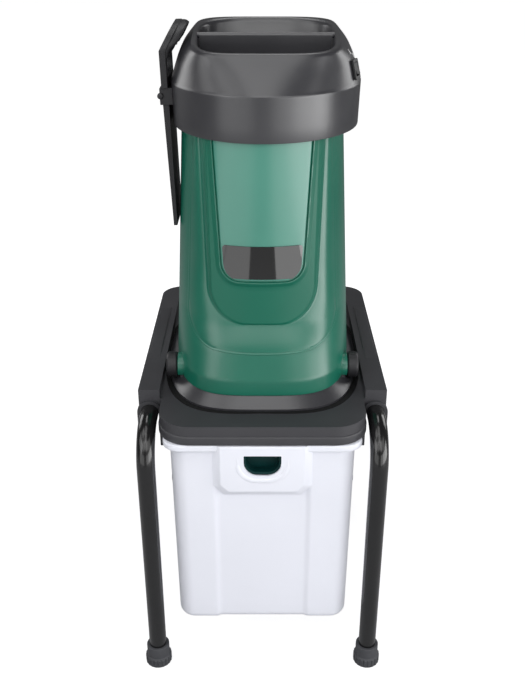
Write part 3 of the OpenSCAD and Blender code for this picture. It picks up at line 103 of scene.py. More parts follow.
# slot, two close tones, drift scale, roughness from and to, grain scale and strength, shine, other sockets
finishes = {
    "greenShell": ("green_plastic", (13, 101, 81), (16, 106, 85), 6, 0.29, 0.35, 1500, 0.05, 0.8),
    # next: a paler copy of the shell's green for the panel, a painted sheen
    "panelGreenPaintedSheen": ("green_plastic", (68, 135, 118), (72, 140, 123), 7, 0.29, 0.35, 1500, 0.05, 0.8),
    # next: a much darker copy of the green for the latch, painted shade of its cup
    "latchGreenPaintedShade": ("green_plastic", (3, 44, 44), (5, 50, 49), 20, 0.32, 0.4, 1500, 0.05, 0.25),
    "greyMoulding": ("dark_plastic", (44, 44, 48), (49, 49, 53), 9, 0.3, 0.37, 1200, 0.12, 1.0),
    # next: a duller, darker copy of the green for the core, painted shade
    "coreGreenPaintedShade": ("green_plastic", (11, 97, 77), (14, 102, 81), 7, 0.4, 0.48, 1100, 0.1, 0.42),
    "deckGrey": ("dark_plastic", (52, 52, 56), (57, 57, 61), 9, 0.46, 0.54, 1200, 0.12, 0.7),
    "blackMoulding": ("black_plastic", (29, 29, 32), (34, 34, 37), 12, 0.42, 0.52, 1200, 0.14, 0.5),
    # next: near-black for the band round the collar, a painted shadow of the gap under it
    "gapShadowBlack": ("black_plastic", (13, 13, 14), (17, 17, 18), 30, 0.7, 0.85, 900, 0.2, 0.25),
    "tubeLacquer": ("black_tube", (14, 14, 15), (18, 18, 19), 14, 0.16, 0.24, 500, 0.03, 0.5,
                    {"Coat Weight": 0.4, "Coat Roughness": 0.06}),
    "footRubber": ("foot_rubber", (62, 63, 67), (70, 71, 75), 40, 0.6, 0.75, 900, 0.22, 0.5),
    "wheelPlastic": ("black_plastic", (24, 24, 26), (31, 31, 33), 25, 0.5, 0.66, 900, 0.2, 0.5),
    "boxWhite": ("white_plastic", (237, 239, 248), (241, 243, 252), 5, 0.38, 0.46, 1300, 0.06, 0.5),
    "mirrorPlate": ("gloss_plate", (9, 9, 10), (13, 13, 14), 9, 0.05, 0.09, 300, 0.02, 1.0),
    "machinedSteel": ("steel", (148, 150, 154), (168, 170, 173), 60, 0.26, 0.4, 700, 0.12, 0.5,
                      {"Metallic": 1.0}),
    "castAlloy": ("alloy", (160, 162, 164), (178, 180, 182), 40, 0.4, 0.55, 600, 0.25, 0.5,
                  {"Metallic": 1.0}),
    "resetRed": ("red_plastic", (140, 26, 22), (152, 30, 25), 40, 0.3, 0.38, 1200, 0.05, 0.5),
    "markWhite": ("white_plastic", (226, 226, 226), (234, 234, 234), 60, 0.4, 0.5, 1200, 0.05, 0.5),
}
finishRule = {"from": 0.3, "to": 0.7, "driftDetail": 4, "grainDetail": 3, "grainDepth": 0.0002}


def mouldedFinish(name):
    # colour and roughness drift together between their two values, fine grain as bump
    dark, light, driftScale, smoothest, roughest, grainScale, strength, shine, *others = finishes[name][1:]
    material = bpy.data.materials.new(name)
    material.use_nodes = True
    tree = material.node_tree
    shader = tree.nodes["Principled BSDF"]
    coords = addNode(tree, "TexCoord")
    drift = addNode(tree, "TexNoise", {"Scale": driftScale, "Detail": finishRule["driftDetail"]})
    tones = addNode(tree, "ValToRGB")
    for stop, at, tone in zip(tones.color_ramp.elements, (finishRule["from"], finishRule["to"]),
                              (dark, light)):
        stop.position, stop.color = at, srgb(*tone)
    polish = addNode(tree, "MapRange", {"From Min": finishRule["from"], "From Max": finishRule["to"],
                                        "To Min": smoothest, "To Max": roughest})
    grain = addNode(tree, "TexNoise", {"Scale": grainScale, "Detail": finishRule["grainDetail"]})
    bump = addNode(tree, "Bump", {"Strength": strength, "Distance": finishRule["grainDepth"]})
    join(tree, (coords, "Object", drift, "Vector"), (coords, "Object", grain, "Vector"),
         (drift, "Fac", tones, "Fac"), (drift, "Fac", polish, "Value"),
         (tones, "Color", shader, "Base Color"), (polish, "Result", shader, "Roughness"),
         (grain, "Fac", bump, "Height"), (bump, "Normal", shader, "Normal"))
    for values in ({"Specular IOR Level": shine}, *others):
        setSockets(shader, values)
    return material


finish = {name: mouldedFinish(name) for name in finishes}
print("finishes made:", len(finish))


# sizes are in millimetres from here on, until a mesh is made
def mix(a, b, t):
    return a + (b - a) * t


def smooth(t):
    t = min(1.0, max(0.0, t))
    return t * t * (3 - 2 * t)


def eased(t):
    return 0.5 - 0.5 * math.cos(math.pi * t)


def blendLine(a, b, t):
    return [mix(u, v, t) for u, v in zip(a, b)]


def lookUp(value, table):
    if value <= table[0][0]:
        return table[0][1]
    for (x0, y0), (x1, y1) in zip(table, table[1:]):
        if value <= x1:
            return mix(y0, y1, (value - x0) / (x1 - x0))
    return table[-1][1]


def signedPower(v, e):
    return math.copysign(abs(v) ** e, v) if abs(v) > 1e-12 else 0.0


def ellipse(a, b, count):
    turns = [2 * math.pi * k / count for k in range(count)]
    return [(a * math.cos(t), b * math.sin(t)) for t in turns]


def rectangle(x0, x1, y0, y1):
    return [(x0, y0), (x1, y0), (x1, y1), (x0, y1)]


def arc(r, start, span, steps):
    # points on a circle round the origin, angles in degrees
    turns = [math.radians(start + span * k / steps) for k in range(steps + 1)]
    return [(r * math.cos(a), r * math.sin(a)) for a in turns]


def roundOutline(w, h, r, steps=8):
    outline = []
    for cx, cy, start in ((w / 2 - r, h / 2 - r, 0), (r - w / 2, h / 2 - r, 90),
                          (r - w / 2, r - h / 2, 180), (w / 2 - r, r - h / 2, 270)):
        outline += [(cx + u, cy + v) for u, v in arc(r, start, 90, steps)]
    return outline


planCount = 192
weldDistance = 2e-6


def planRing(left, right, front, rear, mid, fullFront, fullRear):
    ring = []
    for c, s in ellipse(1, 1, planCount):
        full = fullFront if s < 0 else fullRear
        ring.append(((left if c < 0 else right) * signedPower(c, 2 / full),
                     mid + (front + mid if s < 0 else rear - mid) * signedPower(s, 2 / full)))
    return ring


def lift(ring, z):
    return [(x, y, z) for x, y in ring]


def ringFaces(ringCount, n, cycle):
    faces = []
    for i in range(ringCount if cycle else ringCount - 1):
        for j in range(n):
            a, b = i * n + j, ((i + 1) % ringCount) * n + j
            c, d = ((i + 1) % ringCount) * n + (j + 1) % n, i * n + (j + 1) % n
            faces.append((a, d, c, b))
    return faces


def capped(ringCount, n):
    # rings in a row with both ends closed
    last = ringCount * n
    return ringFaces(ringCount, n, False) + [tuple(range(n)), tuple(range(last - 1, last - n - 1, -1))]


def gridFaces(rows, cols):
    # quads between the points of a grid, row after row
    starts = [i * (cols + 1) + j for i in range(rows) for j in range(cols)]
    return [(a, a + 1, a + cols + 2, a + cols + 1) for a in starts]


def prism(outline, low, high, place):
    # closed prism over an outline; place turns (u, v, depth) into a point
    n = len(outline)
    points = [place(u, v, low) for u, v in outline] + [place(u, v, high) for u, v in outline]
    faces = [tuple(range(n)), tuple(range(2 * n - 1, n - 1, -1))]
    faces += [(j, (j + 1) % n, n + (j + 1) % n, n + j) for j in range(n)]
    return points, faces


def alongX(u, v, d):
    return (d, u, v)


def alongY(u, v, d):
    return (u, d, v)


def alongZ(u, v, d):
    return (u, v, d)


@contextmanager
def editing(mesh):
    work = bmesh.new()
    work.from_mesh(mesh)
    yield work
    work.to_mesh(mesh)
    work.free()


def tidyMesh(mesh):
    with editing(mesh) as work:
        bmesh.ops.remove_doubles(work, verts=work.verts, dist=weldDistance)
        bmesh.ops.recalc_face_normals(work, faces=work.faces)


def newMesh(name, points, faces):
    mesh = bpy.data.meshes.new(name)
    mesh.from_pydata([(x * mm, y * mm, z * mm) for x, y, z in points], [], faces)
    tidyMesh(mesh)
    return mesh


def shade(mesh, sharp):
    mesh.shade_smooth()
    mesh.set_sharp_from_angle(angle=math.radians(sharp))


def dress(name, mesh, look, body, stands=(), sharp=38):
    piece = bpy.data.objects.new(name, mesh)
    scene.collection.objects.link(piece)
    mesh.materials.clear()
    mesh.materials.append(finish[look])
    shade(mesh, sharp)
    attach(piece, body)
    if stands:
        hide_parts(*stands)
    return piece


def addPiece(name, points, faces, look, body, stands=(), sharp=38):
    return dress(name, newMesh(name, points, faces), look, body, stands, sharp)


def addRings(name, rings, cycle, look, body, stands=(), sharp=38):
    count, n = len(rings), len(rings[0])
    faces = ringFaces(count, n, True) if cycle else capped(count, n)
    return addPiece(name, [p for r in rings for p in r], faces, look, body, stands, sharp)


def toolMesh(name, points, faces):
    tool = bpy.data.objects.new(name, newMesh(name, points, faces))
    scene.collection.objects.link(tool)
    return tool


def cutter(name, outline, depth, place):
    return toolMesh(name, *prism(outline, *depth, place))


def settle(piece):
    # the modifiers' result becomes the mesh
    graph = bpy.context.evaluated_depsgraph_get()
    made = bpy.data.meshes.new_from_object(piece.evaluated_get(graph))
    piece.modifiers.clear()
    old = piece.data
    piece.data = made
    made.name = old.name
    bpy.data.meshes.remove(old)


def thicken(piece, depth, sharp):
    thick = piece.modifiers.new("thickness", "SOLIDIFY")
    thick.thickness, thick.offset = depth * mm, -1
    settle(piece)
    shade(piece.data, sharp)


def cutWith(piece, cutters, mode="DIFFERENCE"):
    for cutter in cutters:
        cut = piece.modifiers.new("cut", "BOOLEAN")
        cut.operation, cut.solver, cut.object = mode, "EXACT", cutter
        settle(piece)
        bpy.data.objects.remove(cutter)


def mergeInto(target, extra):
    with editing(target.data) as work:
        work.from_mesh(extra.data)
    bpy.data.objects.remove(extra)


def bevelEdges(work, hard, offset, steps, slide):
    bmesh.ops.bevel(work, geom=hard, offset=offset * mm, offset_type="OFFSET", segments=steps, profile=0.5,
                    affect="EDGES", clamp_overlap=True, loop_slide=slide)


softening = {"flat": 0.6, "hardFrom": 28, "steps": 3, "sharp": 40}


def softened(node, look, edge):
    # a copy of a solid with its edges rounded, which stands for the solid
    mesh = nodes[node].data.copy()
    mesh.name = node + "_skin"
    if "custom_normal" in mesh.attributes:
        mesh.attributes.remove(mesh.attributes["custom_normal"])
    tidyMesh(mesh)
    piece = dress(node + "_skin", mesh, look, nodes[node]["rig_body"], (node,))
    with editing(piece.data) as work:
        bmesh.ops.remove_doubles(work, verts=work.verts, dist=weldDistance)
        flat = math.radians(softening["flat"])
        bmesh.ops.dissolve_limit(work, angle_limit=flat, verts=work.verts, edges=work.edges)
        bmesh.ops.recalc_face_normals(work, faces=work.faces)
        limit = math.radians(softening["hardFrom"])
        hard = [e for e in work.edges if e.is_manifold and e.calc_face_angle() > limit]
        bevelEdges(work, hard, edge, softening["steps"], True)
        bmesh.ops.triangulate(work, faces=[f for f in work.faces if len(f.verts) > 4])
    shade(piece.data, softening["sharp"])
    piece.modifiers.new("evenNormals", "WEIGHTED_NORMAL").keep_sharp = True
    settle(piece)


def sweep(name, path, radius, look, body, stands, sides):
    # round bar along a path in one plane of constant x
    rings, n = [], len(path)
    side = Vector((1, 0, 0))
    for i, p in enumerate(path):
        along = (Vector(path[min(n - 1, i + 1)]) - Vector(path[max(0, i - 1)])).normalized()
        up = along.cross(side).normalized()
        rings.append([tuple(Vector(p) + u * side + v * up) for u, v in ellipse(radius, radius, sides)])
    return addRings(name, rings, False, look, body, stands)


# green upper housing
housing = {
    "seat": 480.0, "top": 862.0, "half": (141.5, 123.0), "rear": (170.0, 126.0), "mid": (-20, 10),
    "wall": 3.2, "fullRear": 3.2, "lift": 0.3, "edgeRound": 3.0, "frontTaper": 0.12,
    "front": ((480, 191), (505, 191), (543, 176.5), (583, 158), (652.5, 142), (862, 120)),
    "frontFull": ((505, 3.6), (583, 2.9), (652.5, 2.6)), "foot": ((2.0, 0), (0.7, 0), (0.15, 0.4), (0, 1.2)),
    "levels": (485, 491, 496, 500, 502, 503.5, 505, 506.5, 508, 510, 514, 520, 527, 534, 539, 541, 543, 545,
               547, 551, 556, 563, 570, 576, 579, 581, 583, 585, 587, 590, 597, 608, 622, 638, 655, 680, 710,
               740, 770, 800, 830, 862),
    "innerLevels": (862, 655, 583, 542, 505),
}
# openings in the housing: vents and sockets at the rear, slots for the lugs behind the knobs
housingCuts = {"ventRows": 7, "vent": (56, 5, 2.4, 6), "ventX": 58, "ventLow": 560, "ventPitch": 12,
               "ventDepth": (100, 220), "inlet": (30, 24, 3), "reset": (13.2, 13.2, 6.58), "resetX": 40,
               "socketZ": 760, "socketDepth": (-20, 20), "lugX": (125.4, 130.6),
               "lug": (-123, -91, 460, 500.6)}


def drawn(name, z):
    # a size of the housing that changes evenly from the seat to the top
    return mix(*housing[name], (z - housing["seat"]) / (housing["top"] - housing["seat"]))


def housingFront(z):
    r = housing["edgeRound"]
    return sum(lookUp(z + r * s, housing["front"]) for s in (-1, -0.6, -0.2, 0.2, 0.6, 1)) / 6


def housingPlan(z, inset):
    half, mid, front = drawn("half", z) - inset, drawn("mid", z), housingFront(z) - inset
    ring = planRing(half, half, front, drawn("rear", z) - inset, mid, lookUp(z, housing["frontFull"]),
                    housing["fullRear"])
    return [(x * (1 - housing["frontTaper"] * max(0.0, (mid - y) / (mid + front))), y) for x, y in ring]


def housingFace(x, z):
    # where the side is x wide, found by halving
    half, mid, full = drawn("half", z), drawn("mid", z), lookUp(z, housing["frontFull"])
    low, high = 0.0, 1.0
    for k in range(24):
        u = (low + high) / 2
        wide = half * (1 - housing["frontTaper"] * u) * (1 - u ** full) ** (1 / full)
        low, high = (u, high) if wide > abs(x) else (low, u)
    return mid - (housingFront(z) + mid) * low


def makeMainShell():
    low, cuts = housing["seat"] + housing["lift"], housingCuts
    # the foot's insets go with the plan at the foot, except for its last step
    rings = [lift(housingPlan(low, inset), low + up) for inset, up in housing["foot"][:-1]]
    rings += [lift(housingPlan(z, 0), z) for z in (low + housing["foot"][-1][1], *housing["levels"])]
    rings += [lift(housingPlan(z, housing["wall"]), z) for z in (*housing["innerLevels"], low)]
    shell = addRings("mainShell", rings, True, "greenShell", "upper_housing", ("main_housing",))
    lowRear, topRear = housing["rear"]
    lean = math.atan((lowRear - topRear) / (housing["top"] - housing["seat"]))
    turn = Matrix.Rotation(lean - math.pi / 2, 3, "X")

    def onRear(x):
        base = Vector((x, drawn("rear", cuts["socketZ"]), cuts["socketZ"]))
        return lambda u, v, d: tuple(base + turn @ Vector((u, v, d)))

    def straight(x, z):
        return lambda u, v, d: (x + u, d, z - v)
    tools = []
    for k in range(cuts["ventRows"]):
        for side in (-1, 1):
            place = straight(side * cuts["ventX"], cuts["ventLow"] + cuts["ventPitch"] * k)
            tools.append(cutter("ventTool", roundOutline(*cuts["vent"]), cuts["ventDepth"], place))
    for name, x in (("inlet", 0), ("reset", cuts["resetX"])):
        tools.append(cutter(name + "Tool", roundOutline(*cuts[name]), cuts["socketDepth"], onRear(x)))
    for side in (-1, 1):
        tools.append(cutter("lugTool", rectangle(*cuts["lug"]), sorted(side * x for x in cuts["lugX"]),
                            alongX))
    for extra in tools[1:]:
        mergeInto(tools[0], extra)
    cutWith(shell, tools[:1])
    shade(shell.data, 38)
    print("main shell made")


boss = {"radius": 20.0, "outX": 133.5, "y": -107.0, "z": 491.0, "floor": 480.3, "sides": 64,
        "profile": ((0, 1.6), (0.25, 0.7), (0.7, 0.25), (1.6, 0), (9, 0), (25.5, 0))}
knuckle = {"radius": 8.5, "y": 199, "z": 489, "half": 30,
           "tail": [(190, 497), (184, 493), (166.8, 493), (166.8, 485), (184, 485), (190, 481)]}


def makeBosses():
    # round bosses behind the knobs, then the middle knuckle of the rear hinge
    for side, name in ((-1, "bossLeft"), (1, "bossRight")):
        rings = []
        for depth, less in boss["profile"]:
            r = boss["radius"] - less
            rings.append([(side * (boss["outX"] - depth), boss["y"] + u, max(boss["z"] + v, boss["floor"]))
                          for u, v in ellipse(r, r, boss["sides"])])
        addRings(name, rings, False, "greenShell", "upper_housing")
    outline = [(knuckle["y"] + u, knuckle["z"] + v) for u, v in arc(knuckle["radius"], -90, 180, 18)]
    outline += knuckle["tail"]
    addPiece("hingeKnuckle", *prism(outline, -knuckle["half"], knuckle["half"], alongX), "greenShell",
             "upper_housing", (), 35)


# green front cover with its nested U layers
# a line is top half, low half, lowest z, two corner radii and floor bow
cover = {"legSteps": 20, "arcSteps": 18, "floorSteps": 12, "top": 862.0, "thickness": 2.6, "sharp": 50,
         "edge": [102, 115, 543, 48, 42, 3], "root": [91, 83, 583, 56, 58, 0],
         "core": [80, 75, 586.5, 52, 54, 0], "panel": [69.5, 58.5, 652.5, 24, 24, 0.5], "panelBack": 0.9,
         "spineLow": 712.5, "sideSwell": 4.0, "sideBulge": 3.5, "lowBulge": 3.0, "coreLip": 1.8,
         "lipHalf": 66, "lipFade": 40, "rootProud": 0.6, "edgeProud": 1.2, "front": (163.0, 142.0),
         "bow": (12.0, 29.0), "coreHalf": 80.0, "coreBack": 3.0, "hoodLow": 850.0, "shoulder": 583.0,
         # next line: how far past the panel's line the painted sheen ends and the painted shade begins
         "panelSheenReach": 0.6, "coreShadeFrom": 4.6}
# width of the strip round the panel and how far each line lies behind the frame's face
panelEdge = ((0, 0.9), (0.5, 1.1), (0.9, 2.0), (1.2, 3.1), (2.5, 3.1), (2.8, 1.9), (3.1, 0.6), (3.6, 0.1),
             (4.2, 0.05), (5.0, 0.3), (6.2, 0.9), (7.6, 1.6), (9.0, 2.3), (9.8, 2.75), (10.3, 3.0))
# the rolled edge of the cover: distance past its line and how far it stands proud
coverEdge = ((-2.4, 1.2), (-1.3, 1.25), (-0.4, 1.4), (0.3, 1.45), (0.8, 1.25), (1.1, 0.8), (1.25, 0.2),
             (1.25, -2.0))


def sideSwell(j, t):
    # the middle layer swells beside the core, less under it, and rolls off towards its edge
    turn = min(1.0, max(0.0, (j - cover["legSteps"]) / cover["arcSteps"]))
    beside = cover["sideSwell"] * (1 - t * t) + cover["sideBulge"] * math.sin(math.pi * t)
    return mix(cover["lowBulge"] * t * (1 - t ** 4), beside, math.cos(math.pi / 2 * turn) ** 2)


def coreFace(x, z):
    t = (z - cover["shoulder"]) / (cover["hoodLow"] - cover["shoulder"])
    return -mix(*cover["front"], t) + mix(*cover["bow"], t) * (x / cover["coreHalf"]) ** 2


def coreEdge(x, z, t):
    # the core comes forward to its lower edge
    low = smooth((cover["lipHalf"] - abs(x)) / cover["lipFade"])
    return coreFace(x, z) + cover["coreBack"] - cover["coreLip"] * t * low


def grown(line, g):
    return [line[0] + g, line[1] + g, line[2] - g, line[3] + g, line[4] + g, line[5]]


def linePoint(line, j):
    leg, arc, floor = cover["legSteps"], cover["arcSteps"], cover["floorSteps"]
    cornerZ = line[2] + line[5] + line[4]
    if j <= leg:
        return mix(line[0], line[1], j / leg), mix(cover["top"], cornerZ, j / leg)
    if j <= leg + arc:
        a = math.pi / 2 * (j - leg) / arc
        return line[1] - line[3] + line[3] * math.cos(a), cornerZ - line[4] * math.sin(a)
    t = 1 - (j - leg - arc) / floor
    return t * (line[1] - line[3]), line[2] + line[5] * t * t


def lineHalf(line, z):
    cornerZ = line[2] + line[5] + line[4]
    if z >= cornerZ:
        return mix(line[1], line[0], (z - cornerZ) / (cover["top"] - cornerZ))
    drop = min(1.0, (cornerZ - z) / line[4])
    return line[1] - line[3] + line[3] * math.sqrt(1 - drop * drop)


def within(line, x, z):
    return z > line[2] + line[5] and x < lineHalf(line, z)


def coverLines():
    # each line with the rule for its depth, from the middle of the panel to the cover's edge
    lines = []
    panel, core, root, edge = cover["panel"], cover["core"], cover["root"], cover["edge"]
    for s in (0.12, 0.25, 0.4, 0.55, 0.7, 0.82, 0.92):
        line = [s * v for v in panel]
        line[2] = mix(cover["spineLow"], panel[2], s)
        lines.append((line, lambda x, z, j: coreFace(x, z) + cover["panelBack"]))
    for g, back in panelEdge:
        lines.append((grown(panel, g), lambda x, z, j, b=back: coreFace(x, z) + b))
    outer = grown(panel, panelEdge[-1][0])
    for t in (0.12, 0.28, 0.45, 0.62, 0.78, 0.9, 0.97):
        lines.append((blendLine(outer, core, t), lambda x, z, j, t=t: coreEdge(x, z, t)))
    for t in (0.0, 0.05, 0.11, 0.18, 0.28, 0.4, 0.55, 0.7, 0.85, 0.95, 0.985):
        lines.append((blendLine(core, root, t), lambda x, z, j, t=t: mix(
            coreEdge(x, z, 1), housingFace(x, z) - cover["rootProud"] - sideSwell(j, 0), t ** 1.35)))
    for t in (0.0, 0.05, 0.12, 0.25, 0.42, 0.58, 0.74, 0.86, 0.93):
        lines.append((blendLine(root, edge, t), lambda x, z, j, t=t: (
            housingFace(x, z) - mix(cover["rootProud"], cover["edgeProud"], t) - sideSwell(j, t))))
    for g, out in coverEdge:
        lines.append((grown(edge, g), lambda x, z, j, o=out: housingFace(x, z) - o))
    return lines


def makeFrontCover():
    lines = coverLines()
    steps = cover["legSteps"] + cover["arcSteps"] + cover["floorSteps"]
    points, index = [], {}

    def put(k, j):
        # the two halves meet on the middle line
        key = (abs(k) if j == steps else k, j)
        if key not in index:
            if k == 0:
                z = mix(cover["top"], cover["spineLow"], j / steps)
                point = (0.0, coreFace(0, z) + cover["panelBack"], z)
            else:
                line, depth = lines[abs(k) - 1]
                x, z = linePoint(line, j)
                point = (math.copysign(x, k), depth(x, z, j), z)
            index[key] = len(points)
            points.append(point)
        return index[key]
    faces, count = [], len(lines)
    for j in range(steps):
        for k in range(-count, count):
            corners = tuple(dict.fromkeys((put(k, j), put(k + 1, j), put(k + 1, j + 1), put(k, j + 1))))
            if len(corners) > 2:
                faces.append(corners)
    piece = addPiece("frontCoverSkin", points, faces, "greenShell", "upper_housing", ("front_cover",),
                     cover["sharp"])
    thicken(piece, cover["thickness"], cover["sharp"])
    # painted sheen: the inlaid panel gets a paler copy of the green; painted shade: the core round it gets a
    # duller, darker copy
    core = blendLine(cover["core"], cover["root"], 0.5)
    panel, strip = grown(cover["panel"], cover["panelSheenReach"]), grown(cover["panel"], cover["coreShadeFrom"])
    for name in ("panelGreenPaintedSheen", "coreGreenPaintedShade"):
        piece.data.materials.append(finish[name])
    for face in piece.data.polygons:
        x, z = abs(face.center.x) / mm, face.center.z / mm
        if within(panel, x, z):
            face.material_index = 1
        elif within(core, x, z) and not within(strip, x, z):
            face.material_index = 2
    print("front cover made")


plate = {"low": 655.2, "high": 704.0, "inset": 1.3, "proud": 1.5, "rows": 28, "columns": 40, "topRound": 5.0,
         "thickness": 1.2}


def makePlate():
    points, rows, cols, r = [], plate["rows"], plate["columns"], plate["topRound"]
    for i in range(rows + 1):
        z = mix(plate["low"], plate["high"], eased(i / rows))
        over = max(0.0, z - plate["high"] + r) / r
        half = lineHalf(cover["panel"], z) - plate["inset"] - r * (1 - math.sqrt(max(0.0, 1 - over * over)))
        for j in range(cols + 1):
            x = half * (2 * j / cols - 1)
            points.append((x, coreFace(x, z) + cover["panelBack"] - plate["proud"], z))
    piece = addPiece("namelessPlate", points, gridFaces(rows, cols), "mirrorPlate", "upper_housing",
                     ("trim_plate",))
    thicken(piece, plate["thickness"], 40)
    print("plate made")


makeMainShell()
makeBosses()
makeFrontCover()
makePlate()

# hood with the feed funnel; a plan is left, right, front, rear, middle and how square its front and rear are
hood = {"plan": (137, 147, 150, 138, 17, 2.05, 4), "feed": (94, 104, 98, 110, 30, 4.6, 4.5), "mouthSquare": 3,
        "neck": (85, 85, 74, 54, -10, 5, 5), "shoulderSquare": (2.8, 4.5), "sideDraw": 15.0, "low": 850.0,
        "crease": 913.0, "lip": 963.0, "rearRim": 987.0, "rim": 11.0, "rimReach": 10, "rimRound": (3.4, 7.5),
        "softFrom": 40, "softOver": 60, "wall": 3.0, "shoulderAt": 0.68, "ledge": (862, 865), "ledgeInset": 8,
        "sharp": 42,
        "band": ((4.4, 850), (2.7, 850), (2.15, 850.35), (1.95, 851.1), (1.3, 872), (0.7, 892), (0.12, 909.5),
                 (0.0, 911.3), (0.1, 912.5), (0.5, 913.7))}
switch = {"at": (131.97, -43.84, 933.05), "yaw": 19.0, "pitch": 76.8, "cut": (24, 22, 2),
          "cutDepth": (-20, 40)}
switchTurn = (Matrix.Rotation(math.radians(-switch["yaw"]), 3, "Z")
              @ Matrix.Rotation(math.radians(switch["pitch"]), 3, "Y"))


def atSwitch(u, v, d):
    return tuple(Vector(switch["at"]) + switchTurn @ Vector((u, v, d)))


def shoulderPlan():
    left, right, front, rear, mid = hood["plan"][:5]
    feedFront, feedRear, feedMid = hood["feed"][2:5]
    draw, rim, t = hood["sideDraw"], hood["rim"], hood["shoulderAt"]
    return (left - draw, right - draw, mix(front, feedFront + rim, t), mix(rear, feedRear + rim, t),
            mix(mid, feedMid, 0.5), *hood["shoulderSquare"])


# plans that follow from the others
hood["mouth"] = (*hood["feed"][:6], hood["mouthSquare"])
hood["shoulder"] = shoulderPlan()


def inward(plan, inset):
    left, right, front, rear, *rest = hood[plan]
    return planRing(left - inset, right - inset, front - inset, rear - inset, *rest)


def rimHeight(y):
    front, rear = hood["feed"][2:4]
    return mix(hood["lip"], hood["rearRim"], (y + front) / (rear + front))


def onRim(inset, drop):
    return [(x, y, rimHeight(y) - drop) for x, y in inward("feed", inset)]


def hoodShoulder(inset):
    t = hood["shoulderAt"]
    return [(x, y, mix(hood["crease"], rimHeight(y), t) - 0.6 * inset) for x, y in inward("shoulder", inset)]


def blendRings(a, b, t):
    return [tuple(blendLine(p, q, t)) for p, q in zip(a, b)]


def bowRings(a, b, c, t):
    return blendRings(blendRings(a, b, t), blendRings(b, c, t), t)


def innerRim(angle):
    # rounded inner edge of the feed opening, softer at the rear
    a, ring, reach = math.radians(angle), [], hood["rimReach"]
    for (x0, y0), (x1, y1) in zip(inward("mouth", 0), inward("mouth", -reach)):
        r = mix(*hood["rimRound"], smooth((y0 - hood["softFrom"]) / hood["softOver"]))
        f = r * (1 - math.sin(a)) / reach
        x, y = mix(x0, x1, f), mix(y0, y1, f)
        ring.append((x, y, rimHeight(y) - r * (1 - math.cos(a))))
    return ring


def makeHood():
    crease, neckZ, wall, rim = hood["crease"], hood["low"] + 4, hood["wall"], hood["rim"]
    foot, shoulder = lift(inward("plan", 1.1), crease + 1.6), hoodShoulder(0)
    rimOut, rimTop = onRim(-rim, 2.5), onRim(2.6 - rim, 0)
    rings = [lift(inward("plan", inset), z) for inset, z in hood["band"]] + [foot]
    rings += [blendRings(foot, shoulder, t) for t in (0.08, 0.25, 0.45, 0.6)]
    a, b = blendRings(foot, shoulder, 0.7), blendRings(shoulder, rimOut, 0.45)
    rings += [bowRings(a, shoulder, b, t) for t in (0, 0.17, 0.34, 0.5, 0.66, 0.83, 1)]
    rings += [blendRings(shoulder, rimOut, t) for t in (0.62, 0.8)]
    start = blendRings(shoulder, rimOut, 0.88)
    rings += [bowRings(start, rimOut, rimTop, t) for t in (0, 0.25, 0.5, 0.75, 1)]
    rings += [innerRim(a) for a in (0, 18, 36, 54, 72)]
    mouth, neck = innerRim(90), lift(inward("neck", 0), neckZ)
    rings += [blendRings(mouth, neck, t) for t in (0, 0.12, 0.3, 0.5, 0.7, 0.88, 1)]
    rings += [lift(inward("neck", -wall), neckZ), onRim(-wall - 1, 4 + wall), onRim(3 - rim, 2.5 + 2 * wall),
              hoodShoulder(wall), lift(inward("plan", 1 + wall), crease - 3),
              lift(inward("plan", 2 + wall), hood["low"])]
    piece = addRings("hoodShell", rings, True, "greyMoulding", "upper_housing", ("hood",), hood["sharp"])
    # ledge on which the hood sits
    outer, inner = inward("plan", wall + 1), housingPlan(housing["top"], hood["ledgeInset"])
    low, high = hood["ledge"]
    addRings("hoodLedge", [lift(outer, low), lift(outer, high), lift(inner, high), lift(inner, low)], True,
             "greyMoulding", "upper_housing")
    cutWith(piece, [cutter("switchTool", roundOutline(*switch["cut"]), switch["cutDepth"], atSwitch)])
    shade(piece.data, hood["sharp"])
    print("hood made")


makeHood()

# solids that keep their shape, by finish, with how far their edges are rounded
softSpec = {
    "deckGrey": {"base_deck": 2.0}, "greyMoulding": {"lower_housing": 0.9, "feed_guard": 1.0},
    "blackMoulding": {"plunger": 1.2, "plunger_holder": 0.9, "switch_housing": 0.6, "switch_rocker": 0.5,
                      "power_inlet": 0.6, "knob_left": 0.9, "knob_right": 0.9, "axle_caps": 0.5,
                      "box_interlock": 0.6},
    # the latch takes the darkened green: painted shade
    "latchGreenPaintedShade": {"box_lock": 0.9}, "footRubber": {"foot_left": 0.5, "foot_right": 0.5},
    "wheelPlastic": {"wheel_left": 0.9, "wheel_right": 0.9}, "resetRed": {"reset_button": 0.6},
    "machinedSteel": {"counter_blade": 0.3, "blades": 0.2, "disc_bolt": 0.5, "blade_disc": 0.5,
                      "wheel_axle": 0.5},
}
for look, edges in softSpec.items():
    for node, edge in edges.items():
        softened(node, look, edge)
# solids that only take a finish
plainSpec = {
    "machinedSteel": ("hinge_pin", "clamp_stud_left", "clamp_stud_right", "rotor_shaft", "blade_screws",
                      "bearing_lower", "bearing_upper", "motor_can", "stator_core"),
    "castAlloy": ("motor_plate",), "blackMoulding": ("feed_chute", "cooling_fan"),
}
for look, names in plainSpec.items():
    for node in names:
        nodes[node].data.materials.clear()
        nodes[node].data.materials.append(finish[look])
print("rounded solids made:", sum(len(edges) for edges in softSpec.values()))

guard = {"rise": 6.0, "half": 3.1, "under": 5.0, "over": 1.0, "reach": 2.5, "steps": 12, "lengths": 8,
         "rim": 0.004}


